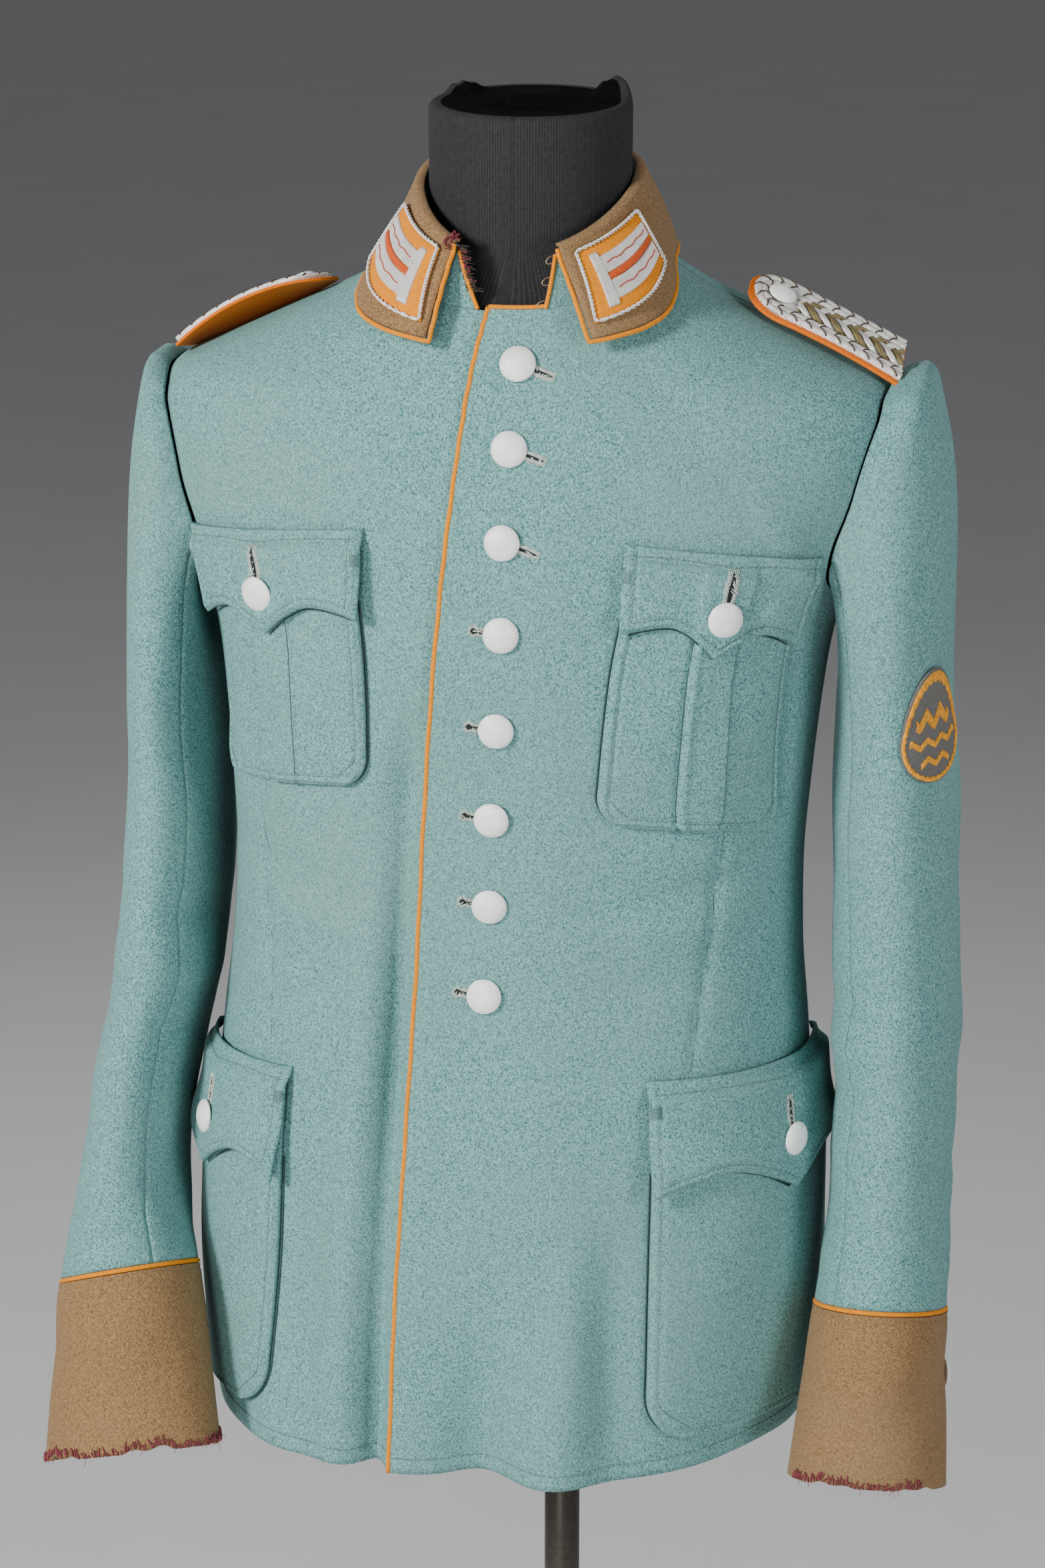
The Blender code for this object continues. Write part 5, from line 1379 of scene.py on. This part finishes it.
def board_frame(side):
    """A board's inner end, its direction and length, its forward and upward directions."""
    board = BOARDS[side]
    inner = np.array([*board["inner"], ridge_height(board["inner"][0])])
    outer = np.array([*board["outer"], ridge_height(board["outer"][0])])
    roll = np.radians(board["roll"])
    across = np.array([0.0, -np.cos(roll), -np.sin(roll)])
    up = unit(np.cross(outer - inner, across) * -side)
    return inner, outer - inner, across, up


def on_board(side, along, across, lift):
    """Point on a board: metres from its neck end, metres forward of its middle, arched between."""
    board = BOARDS[side]
    inner, whole, forward, up = board_frame(side)
    p = along / np.linalg.norm(whole)
    arch = board["arch"] * 4 * p * (1 - p) * (1 + across / BOARD_HALF) / 2
    rise = board["seat"] + lift + arch + abs(np.sin(np.radians(board["roll"]))) * BOARD_HALF * 0.75
    return inner + whole * p[..., None] + forward * across[..., None] + up * rise[..., None]


def u_lane(side, offset, lift, count=150):
    """Path at an offset from the board's middle: up one side, round the neck end, down the other."""
    length = np.linalg.norm(board_frame(side)[1]) - 0.001
    centre = BOARD_HALF + 0.0006
    straight = np.linspace(length, centre, count)
    turn = np.linspace(np.pi / 2, 3 * np.pi / 2, 40)[1:-1]
    along = np.concatenate([straight, centre + offset * np.cos(turn), straight[::-1]])
    across = np.concatenate([np.full(count, offset), offset * np.sin(turn), np.full(count, -offset)])
    return on_board(side, along, across, lift + 0 * along), along, across


def lace(name, colour, dark, pitch, metallic=0.35):
    """Metal thread: fine ridges across the piece's own length, dulled in patches."""
    material, shader, add, link = new_material(name)
    where = add("ShaderNodeTexCoord").outputs["Object"]
    ridges = add("ShaderNodeTexWave", Scale=pitch, Distortion=1.5, Detail=1.0, bands_direction="DIAGONAL")
    dull = add("ShaderNodeTexNoise", Scale=130.0, Detail=4.0, Roughness=0.7)
    link(where, ridges.inputs["Vector"])
    link(where, dull.inputs["Vector"])
    both = weighted(add, link, ridges.outputs["Fac"], 0.45, dull.outputs["Fac"])
    link(two_tone(add, link, both, (0.42, dark), (0.72, colour)), shader.inputs["Base Color"])
    bumped(add, link, shader, ridges.outputs["Fac"], 0.5, 0.0004)
    settle(shader, Roughness=0.5, Metallic=metallic)
    return material


def board_layer(side, start, reach, narrow, lift):
    """Grid over a board, round at its neck end: from a start on over a reach, both as shares of
    its length, and at a share of its width."""
    length = np.linalg.norm(board_frame(side)[1])
    p = np.concatenate([np.linspace(0, ROUND_SHARE, 26), np.linspace(ROUND_SHARE, 1, 40)[1:]])[:, None]
    q = np.linspace(-1, 1, 31)[None, :]
    round_end = np.clip(1 - p * length / BOARD_HALF, 0, 1)
    half = (BOARD_HALF + FELT_OUT) * np.sqrt(1 - 0.94 * round_end ** 2)
    return on_board(side, (start + reach * p) * length + 0 * q, q * half * narrow, lift + 0 * q * p)


def chevron_threads(side):
    """Starts and ends of the dark threads over the two edge cords: a V at each mark along them."""
    path, along, across = u_lane(side, LANES[0], CORD_LIFT)
    gone = np.concatenate([[0], np.cumsum(np.linalg.norm(np.diff(path, axis=0), axis=1))])
    marks = np.arange(0.003, gone[-1] - 0.004, CHEVRON_PITCH)
    ends = []
    for shift, reach in ((0.0, 0.0027), (CHEVRON_SLANT, -0.0024), (CHEVRON_SLANT, -0.0024), (0.0, -0.0070)):
        place = np.stack([np.interp(marks + shift, gone, values) for values in (along, across)], axis=-1)
        out = place - [BOARD_HALF, 0.0]
        out[:, 0] = np.minimum(out[:, 0], 0.0)
        x, y = (place + unit(out) * reach).T
        ends.append(on_board(side, x, y, CORD_LIFT + 0.0005 + 0 * x))
    return np.concatenate(ends[::2]), np.concatenate(ends[1::2])


SILVER_CORD = lace("silver_cord", (0.900, 0.890, 0.860), (0.500, 0.490, 0.450), 260.0)
BRONZE_CORD = lace("bronze_cord", (0.240, 0.185, 0.070), (0.085, 0.062, 0.024), 420.0, 0.1)
DARK_THREAD = plain("dark_thread", (0.060, 0.042, 0.026), speck=0.4)
DEEP_FELT = felt("deep_orange_felt", (0.720, 0.150, 0.003))
for side, word in HANDS:
    up = board_frame(side)[3]
    top = board_layer(side, 0, 1, 1, BOARD_FELT)
    pad = wall("felt_board_" + word, top, board_layer(side, 0, 1, 1, 0.0), DEEP_FELT,
               ("board_%s_underlay" % word,))
    wall("braid_ground_" + word, board_layer(side, 0.035, 0.955, 0.86, BOARD_FELT + 0.0018),
         board_layer(side, 0.035, 0.955, 0.86, BOARD_FELT + SEAM), SILVER_CORD)
    lanes = np.array([u_lane(side, offset, CORD_LIFT)[0] for offset in LANES])
    add_tubes("braid_edge_" + word, lanes, EDGE_CORD, SILVER_CORD,
              ("board_%s_braid" % word,), sides=8, squash=np.broadcast_to(up, lanes.shape))
    a, b = chevron_threads(side)
    add_tubes("chevrons_" + word, arched(a, b, np.broadcast_to(up, a.shape), 0.0014), CHEVRON_THREAD,
              DARK_THREAD, sides=5)
    run = np.linspace(0.031, np.linalg.norm(board_frame(side)[1]) - 0.002, 170)
    for kind, starts_at, material in (("silver", 0.0, SILVER_CORD), ("bronze", np.pi / 2, BRONZE_CORD)):
        phases = starts_at + np.array([-0.20, 0.20, np.pi - 0.20, np.pi + 0.20])
        swing = 2 * np.pi * run / PLAIT_PITCH + phases[:, None]
        weave = CORD_LIFT + 0.0004 + 0.0011 * np.sin(2 * swing) + 0.0007 * np.cos(swing)
        strands = on_board(side, run + 0 * swing, PLAIT_HALF * np.sin(swing), weave)
        add_tubes("plait_%s_%s" % (kind, word), strands, PLAIT_CORD, material, sides=8,
                  squash=np.broadcast_to(up, strands.shape))
    seat = on_board(side, np.array(0.0195), np.array(0.0), np.array(CORD_LIFT + 0.0004))
    add_turned("dome_board_" + word, BUTTON_SHAPE, seat, up, BOARD_BUTTON, PEBBLED,
               ("button_board_" + word,), BUTTON_GAP)

# Collar patches: slanted blocks of orange felt edged with twisted silver cord. Each carries
# two bars of silver lace with a red stripe between them and a thin red line along each.
COLLAR_PATCH = 0.0018
RED_THREAD = plain("red_thread", (0.420, 0.060, 0.030), speck=0.35)
FLAME_FELT = felt("flame_felt", (0.560, 0.085, 0.020))
SILVER_LACE = lace("silver_lace", (0.780, 0.765, 0.730), (0.480, 0.465, 0.430), 420.0, 0.3)
# Each strip on a patch: its spans from the front and from the top, its rise, material and taper
PATCH_BARS = (
    ("lace_bar_upper", (0.14, 0.955, 0.20, 0.452), 0.0009, SILVER_LACE, "silver_braid", 0.0),
    ("lace_bar_lower", (0.14, 0.955, 0.555, 0.815), 0.0009, SILVER_LACE, "silver_braid", 0.0),
    ("lace_end", (0.115, 0.205, 0.125, 0.885), 0.0013, SILVER_LACE, "silver_braid", 0.0),
    ("stripe_middle", (0.20, 0.93, 0.455, 0.552), 0.0012, FLAME_FELT, "orange_felt", 0.55))
THIN_STRIPES = (0.325, 0.690)
STRIPE_RADIUS = 0.00042
TWIST_RADIUS = 0.00062
TWIST_TURNS = 36
SQUARENESS = 30


def patch_at(side, a, b, lift):
    """Point over a collar patch: a from its front edge to its back, b from its top down."""
    w = 0.35 + (0.56 - 0.10 * a) * b
    s = side * (0.966 - 0.242 * a + 0.024 * b)
    return fall_point(s, w, lift)


def patch_block(name, side, spans, low, high, material, nodes=(), taper=0.0):
    """A raised strip on a patch over the spans of a and b, its top rounded off at the rims and its
    ends drawn in by the taper."""
    a_from, a_to, b_from, b_to = spans
    a = np.linspace(a_from, a_to, 40)[None, :]
    b = np.linspace(-1, 1, 16)[:, None]
    share = (a - a_from) / (a_to - a_from)
    narrow = 1 - taper * (1 - np.sin(np.pi * np.clip(share, 0.02, 0.98)) ** 0.35)
    place = (b_from + b_to) / 2 + b * narrow * (b_to - b_from) / 2
    rim = np.minimum(1 - np.abs(b), 6 * np.minimum(share, 1 - share))
    round_off = (high - low) * 0.45 * (1 - ease(rim / 0.18))
    return wall(name, patch_at(side, a, place, high - round_off), patch_at(side, a, place, low),
                material, nodes)


for side, word in HANDS:
    top = SEAM * 2 + COLLAR_PATCH
    ground = patch_block("felt_patch_" + word, side, (0, 1, 0, 1), SEAM * 2, top, ORANGE_FELT,
                         ("collar_patch_" + word,))
    whole = patch_at(side, np.linspace(0, 1, 50)[None, :], np.linspace(0, 1, 24)[:, None], top)
    for name, spans, rise, material, slot, taper in PATCH_BARS:
        patch_block(name + "_" + word, side, spans, top - 0.0002, top + rise, material, taper=taper)
    run = np.linspace(0.25, 0.90, 60)
    lines = [patch_at(side, run, b + 0.010 * np.sin(run * 31 + side), top + 0.0009) for b in THIN_STRIPES]
    add_tubes("stripes_thin_" + word, np.array(lines), STRIPE_RADIUS, RED_THREAD, sides=6)
    turn = np.linspace(0, 2 * np.pi, 481)[:-1]
    blend = (np.abs(np.cos(turn)) ** SQUARENESS + np.abs(np.sin(turn)) ** SQUARENESS) ** (1 / SQUARENESS)
    rim_a, rim_b = 0.5 + 0.5 * np.cos(turn) / blend, 0.5 + 0.5 * np.sin(turn) / blend
    middle = patch_at(side, rim_a, rim_b, top + 0.0003)
    out = unit(patch_at(side, rim_a, rim_b, top + 0.002) - middle)
    along = unit(np.roll(middle, -1, axis=0) - np.roll(middle, 1, axis=0))
    beside = np.cross(along, out)
    strands = []
    for phase in (0.0, np.pi):
        twist = (TWIST_TURNS * turn + phase)[:, None]
        strands.append(middle + TWIST_RADIUS * (np.cos(twist) * out + np.sin(twist) * beside))
    add_tubes("cord_patch_" + word, np.array(strands), TWIST_RADIUS, SILVER_CORD, sides=5,
              closed=True)

# The patch on the left sleeve: an oval of grey felt with a satin-stitched rim. Its middle
# holds plain zigzag bands of the same orange thread.
PATCH_TURN = 0.125
PATCH_ROW = 0.10
PATCH_HALF_TURN = 0.085
PATCH_HALF_ROW = 0.28
PATCH_GAP = 0.0009
PATCH_FELT = 0.0015
SATIN_THREAD = 0.00045
GREY_FELT = felt("grey_felt", (0.130, 0.130, 0.128))
GOLD_THREAD = plain("orange_thread", (0.780, 0.320, 0.016), speck=0.4)


def on_sleeve_patch(x, y, lift):
    """Point and normal over the oval patch, x and y from -1 to 1 across and down it."""
    return sleeve_surface(1, PATCH_TURN + PATCH_HALF_TURN * x, PATCH_ROW + PATCH_HALF_ROW * y, lift)


u = np.linspace(-1, 1, 40)[None, :]
v = np.linspace(-1, 1, 40)[:, None]
disc_x, disc_y = u * np.sqrt(1 - v ** 2 / 2), v * np.sqrt(1 - u ** 2 / 2)
outer = on_sleeve_patch(disc_x, disc_y, PATCH_GAP + PATCH_FELT)[0]
inner = on_sleeve_patch(disc_x, disc_y, PATCH_GAP)[0]
oval = wall("felt_sleeve_patch", outer, inner, GREY_FELT, ("sleeve_patch",))
starts, ends = [], []
for k, turn in enumerate(np.linspace(0, 2 * np.pi, 260, endpoint=False)):
    inset = 0.865 + 0.012 * np.sin(7.1 * k)
    starts.append((inset * np.cos(turn), inset * np.sin(turn)))
    ends.append((0.965 * np.cos(turn + 0.01), 0.965 * np.sin(turn + 0.01)))
for band in (-0.46, 0.0, 0.46):
    for x in np.arange(-0.74, 0.74, 0.0165):
        zigzag = band + 0.085 * (2 * np.abs(((x * 2.2) % 1.0) - 0.5) * 2 - 1)
        if x * x + (abs(zigzag) + 0.08) ** 2 < 0.56:
            starts.append((x, zigzag - 0.075))
            ends.append((x + 0.008, zigzag + 0.075))
a, b = np.array(starts), np.array(ends)
a, out = on_sleeve_patch(a[:, 0], a[:, 1], PATCH_GAP + PATCH_FELT)
b = on_sleeve_patch(b[:, 0], b[:, 1], PATCH_GAP + PATCH_FELT)[0]
sewn = add_tubes("satin_sleeve_patch", arched(a, b, out, 0.0006), SATIN_THREAD, GOLD_THREAD,
                 sides=5)

# Collar fastening: three wire loops on one stand edge, and the other edge worn through to
# dark canvas threads where it rubbed against them.
BRONZE_WIRE = plain("bronze_wire", (0.300, 0.210, 0.140), roughness=0.4, metallic=0.8, speck=0.3)
loops = []
for w in (0.10, 0.50, 0.86):
    foot = stand_point(np.array(1.0), np.array(w))
    inward = unit(foot - stand_point(np.array(0.97), np.array(w)))
    upward = unit(stand_point(np.array(1.0), np.array(w + 0.03)) - foot)
    turn = np.linspace(0, 2 * np.pi, 33)[:-1]
    wide, high = 1 + np.cos(turn)[:, None], np.sin(turn)[:, None]
    loops.append(foot + inward * 0.0030 * wide + upward * 0.0022 * high)
add_tubes("wire_loops", np.array(loops), 0.00042, BRONZE_WIRE, sides=8, closed=True)
w = draw.uniform(0.30, 1.0, 150)
foot = stand_point(np.full(150, -1.0), w, draw.uniform(-0.0022, 0.0010, (150, 1)))
inward = unit(foot - stand_point(np.full(150, -0.97), w))
stray = inward * draw.uniform(0.0012, 0.0052, 150)[:, None] + draw.normal(0, 0.0011, (150, 3))
add_tubes("worn_edge_threads", arched(foot - inward * 0.001, foot + stray, unit(stray), 0.0008), 0.00028,
          DARK_THREAD, sides=5)
w = draw.uniform(0.45, 1.0, 60)
foot = stand_point(np.full(60, -1.0), w, 0.0)
stray = unit(foot - stand_point(np.full(60, -0.97), w)) * 0.0035 + draw.normal(0, 0.0013, (60, 3))
corner_w = draw.uniform(0.0, 0.34, 70)
corner_s = draw.uniform(-1.0, -0.972, 70)
corner_foot = fall_point(corner_s, corner_w, 0.0)
corner_stray = fall_point(corner_s, corner_w, 0.0012) - corner_foot + draw.normal(0, 0.0013, (70, 3))
foot, stray = np.concatenate([foot, corner_foot]), np.concatenate([stray, corner_stray])
add_tubes("worn_edge_wine_threads", arched(foot, foot + stray, unit(stray), 0.0010), 0.00028,
          WINE_THREAD, sides=5)

# The dress form: a limbless torso under black ribbed jersey, its neck cut off flat. The
# jersey is bunched at two corners of the top, where it was tied off.
FORM_BOTTOM = 0.745
FORM_GAP = 0.0009
NECK_RADIUS = np.array([0.0595, 0.0520])
NECK_MIDDLE_Y = -0.016
NECK_TOP = 1.508
NECK_RIM = 0.004
NECK_ROWS = 22
RIM_ROWS = 7
FORM_ROWS = columns(("height", "inside"), (
    (0.745, 0.016),
    (0.760, 0.012),
    (0.850, 0.016),
    (0.950, 0.015),
    (1.050, 0.015),
    (1.130, 0.014),
    (1.200, 0.013),
    (1.260, 0.012),
    (1.300, 0.010),
    (1.330, 0.006),
    (1.345, 0.0029),
    (1.358, 0.0012),
    (1.370, 0.0012),
    (1.382, 0.0016),
    (1.394, 0.0026),
    (1.405, 0.005)))


def jersey(name):
    """Black knit: fine upright ribs by the angle round the neck, a faint lint and a soft sheen."""
    material, shader, add, link = new_material(name)
    spot = add("ShaderNodeTexCoord")
    ribs = add("ShaderNodeTexWave", Scale=190.0, Distortion=0.4, Detail=1.0, bands_direction="X")
    link(spot.outputs["UV"], ribs.inputs["Vector"])
    lint = add("ShaderNodeTexNoise", Scale=420.0, Detail=5.0, Roughness=0.75)
    link(spot.outputs["Object"], lint.inputs["Vector"])
    both = weighted(add, link, ribs.outputs["Fac"], 0.40, lint.outputs["Fac"])
    colour = two_tone(add, link, both, (0.30, (0.012, 0.012, 0.013)), (1.00, (0.036, 0.036, 0.039)))
    link(colour, shader.inputs["Base Color"])
    bumped(add, link, shader, both, 0.4, 0.0004)
    settle(shader, Roughness=0.95, Specular_IOR_Level=0.15)
    return material


JERSEY = jersey("black_jersey")
FORM_SIDES = 120
turn = np.arange(FORM_SIDES) * 2 * np.pi / FORM_SIDES
turn = np.arctan2(np.sin(turn), np.cos(turn))
face = np.where(np.abs(turn) <= np.pi / 2 + 1e-6, -1, 1)
heights = np.concatenate([np.linspace(FORM_BOTTOM, 1.33, 36), np.linspace(1.33, 1.405, 14)[1:]])
rings = []
for height in heights:
    inside = smooth(height, FORM_ROWS["height"], FORM_ROWS["inside"])
    point, normal = trunk(across_at(turn, height), height, face, folds=False)
    rings.append(point - normal * (CLOTH + FORM_GAP + inside))
neck_axis = LEAN * (1.45 - LEAN_FROM)


def neck_ring(height, shrunk):
    """Oval ring of the neck, drawn in by a length."""
    radius = NECK_RADIUS - shrunk
    x = neck_axis + radius[0] * np.sin(turn)
    return np.stack([x, NECK_MIDDLE_Y - radius[1] * np.cos(turn), height + 0 * x], axis=-1)


for height in np.linspace(1.425, NECK_TOP - NECK_RIM, NECK_ROWS):
    tuck = 0.0007 * bell(height - 1.472, 0.0020)
    rings.append(neck_ring(height, tuck))
for bend in np.linspace(0, np.pi / 2, RIM_ROWS + 1)[1:]:
    rings.append(neck_ring(NECK_TOP - NECK_RIM + NECK_RIM * np.sin(bend), NECK_RIM * (1 - np.cos(bend))))
first_flat = len(rings) * FORM_SIDES
for share in np.linspace(0, 1, 16)[1:-1]:
    shrunk = NECK_RIM + share * (NECK_RADIUS.min() - 0.006)
    rings.append(neck_ring(NECK_TOP - 0.0012 * np.sin(np.pi * min(share * 2, 0.5)), shrunk))
rings = np.array(rings)
rings[..., 2] -= 0.0040 * (1 + np.cos(turn)) * ease((rings[..., 2] - 1.455) / 0.045)
# The bunched corners: a small one on the wearer's right and a larger, folded one on the left
BUNCHES = columns(("turn", "reach", "wide", "deep", "high"), (
    (2.05, 0.0535, 0.0125, 0.0120, 0.0088),
    (-2.15, 0.0535, 0.0095, 0.0100, 0.0046)))
for k in range(len(BUNCHES["turn"])):
    middle = np.array([neck_axis + BUNCHES["reach"][k] * np.sin(BUNCHES["turn"][k]),
                       NECK_MIDDLE_Y - BUNCHES["reach"][k] * 0.88 * np.cos(BUNCHES["turn"][k])])
    away = rings[..., :2] - middle
    hump = np.exp(-((away[..., 0] / BUNCHES["wide"][k]) ** 4 + (away[..., 1] / BUNCHES["deep"][k]) ** 4))
    hump = hump * ease((rings[..., 2] - NECK_TOP + 0.014) / 0.012)
    fold = 1 + 0.16 * np.sin(away[..., 0] * 620 + away[..., 1] * 380 + 1.0)
    rings[..., 2] += BUNCHES["high"][k] * hump * fold
points, faces = capped(rings, [rings[0].mean(axis=0), rings[-1].mean(axis=0)])
around = np.append(np.tile(np.arange(FORM_SIDES) / FORM_SIDES * 0.36, len(rings)), [0.0, 0.0])
form_cover = add_piece("form_cover", points, faces, JERSEY, ("form",),
                       uv=np.stack([around, points[:, 2]], axis=-1))
# The flat top gets a darker, matt copy of the black jersey: painted shade on the top
black_top_painted_shade = plain("black_top_painted_shade", (0.0042, 0.0042, 0.0045), roughness=1.0, speck=0.5, bump=0.2)
settle(black_top_painted_shade.node_tree.nodes["Principled BSDF"], Specular_IOR_Level=0.02)
form_cover.data.materials.append(black_top_painted_shade)
on_top = [min(face) >= first_flat for face in faces]
form_cover.data.polygons.foreach_set("material_index", np.array(on_top, dtype=np.int32))

# The stand: a dark steel pole on a round plate with a turned boss
POLE_RADIUS = 0.0115
STEEL = plain("dark_steel", (0.070, 0.060, 0.050), roughness=0.34, metallic=0.75, speck=0.18, scale=220.0,
              bump=0.12)
BASE_SHAPE = ((0.0, 0.0), (0.166, 0.0), (0.1700, 0.0012), (0.1700, 0.0080), (0.1694, 0.0096),
              (0.1670, 0.0110), (0.1400, 0.0119), (0.1000, 0.0129), (0.0600, 0.0140), (0.0420, 0.0160),
              (0.0330, 0.0185), (0.0300, 0.0210), (0.0275, 0.0290), (0.0250, 0.0400), (0.0240, 0.0445),
              (0.0225, 0.0468), (0.0200, 0.0470), (0.0, 0.0470))
GROUND = np.zeros(3)
UPRIGHT = np.array([0.0, 0.0, 1.0])
add_turned("stand_base", BASE_SHAPE, GROUND, UPRIGHT, 1.0, STEEL, ("base",), sides=96, place=GROUND)
foot, top = 0.0470 + SEAM, FORM_BOTTOM - SEAM
POLE_SHAPE = ((0.0, foot), (POLE_RADIUS - 0.0005, foot), (POLE_RADIUS, foot + 0.0006), (POLE_RADIUS, 0.4),
              (POLE_RADIUS, top - 0.0006), (POLE_RADIUS - 0.0005, top), (0.0, top))
add_turned("stand_pole", POLE_SHAPE, GROUND, UPRIGHT, 1.0, STEEL, ("pole",), sides=48, place=GROUND)

# The picture: a plain pale floor, soft studio light and the camera at the photograph's angle
floor_mesh = bpy.data.meshes.new("floor")
floor_mesh.from_pydata([(-40, -40, 0), (40, -40, 0), (40, 40, 0), (-40, 40, 0)], [], [(0, 1, 2, 3)])
FLOOR = plain("pale_floor", (0.62, 0.62, 0.63), roughness=0.9, speck=0.02, scale=3.0, bump=0.0)
floor_mesh.materials.append(FLOOR)
floor = bpy.data.objects.new("floor", floor_mesh)
bpy.context.collection.objects.link(floor)


def aim_pose(item, place, aim):
    """Puts an object at a place with its -Z axis on the aim and its X axis level."""
    back = unit(place - aim)
    right = unit(np.cross((0.0, 0.0, 1.0), back))
    up = np.cross(back, right)
    pose = Matrix.Identity(4)
    for k in range(3):
        pose[k][0], pose[k][1], pose[k][2], pose[k][3] = right[k], up[k], back[k], place[k]
    item.matrix_world = pose


MIDDLE = np.array([-0.02, -0.02, 1.08])


def soft_light(name, place, width, watts, colour=(1.0, 1.0, 1.0)):
    """A square soft box at a place, turned to face the tunic's middle."""
    data = bpy.data.lights.new(name, "AREA")
    data.shape = "SQUARE"
    data.size = width
    data.energy = watts
    data.color = colour
    lamp = bpy.data.objects.new(name, data)
    bpy.context.collection.objects.link(lamp)
    aim_pose(lamp, np.array(place), MIDDLE)


soft_light("key", (-1.9, -2.3, 2.5), 0.6, 132, (1.0, 0.985, 0.96))
soft_light("fill", (2.3, -1.7, 1.9), 0.9, 34, (0.97, 0.985, 1.0))
soft_light("front", (-0.3, -3.4, 1.2), 0.8, 40)
soft_light("rim_left", (-1.7, 1.5, 2.2), 1.2, 16)
soft_light("rim_right", (1.7, 1.6, 2.2), 1.2, 16)
world = bpy.data.worlds.new("studio")
world.use_nodes = True
settle(world.node_tree.nodes["Background"], Color=(0.80, 0.81, 0.83, 1), Strength=0.18)
bpy.context.scene.world = world

AZIMUTH = 10.0
ELEVATION = 17.0
DISTANCE = 2.28
AIM = np.array([-0.023, -0.020, 1.085])
a, e = np.radians([AZIMUTH, ELEVATION])
back = np.array([np.sin(a) * np.cos(e), -np.cos(a) * np.cos(e), np.sin(e)])
lens = bpy.data.cameras.new("camera")
lens.lens = 85.0
lens.sensor_width = 36.0
camera = bpy.data.objects.new("camera", lens)
bpy.context.collection.objects.link(camera)
aim_pose(camera, AIM + back * DISTANCE, AIM)
bpy.context.scene.camera = camera
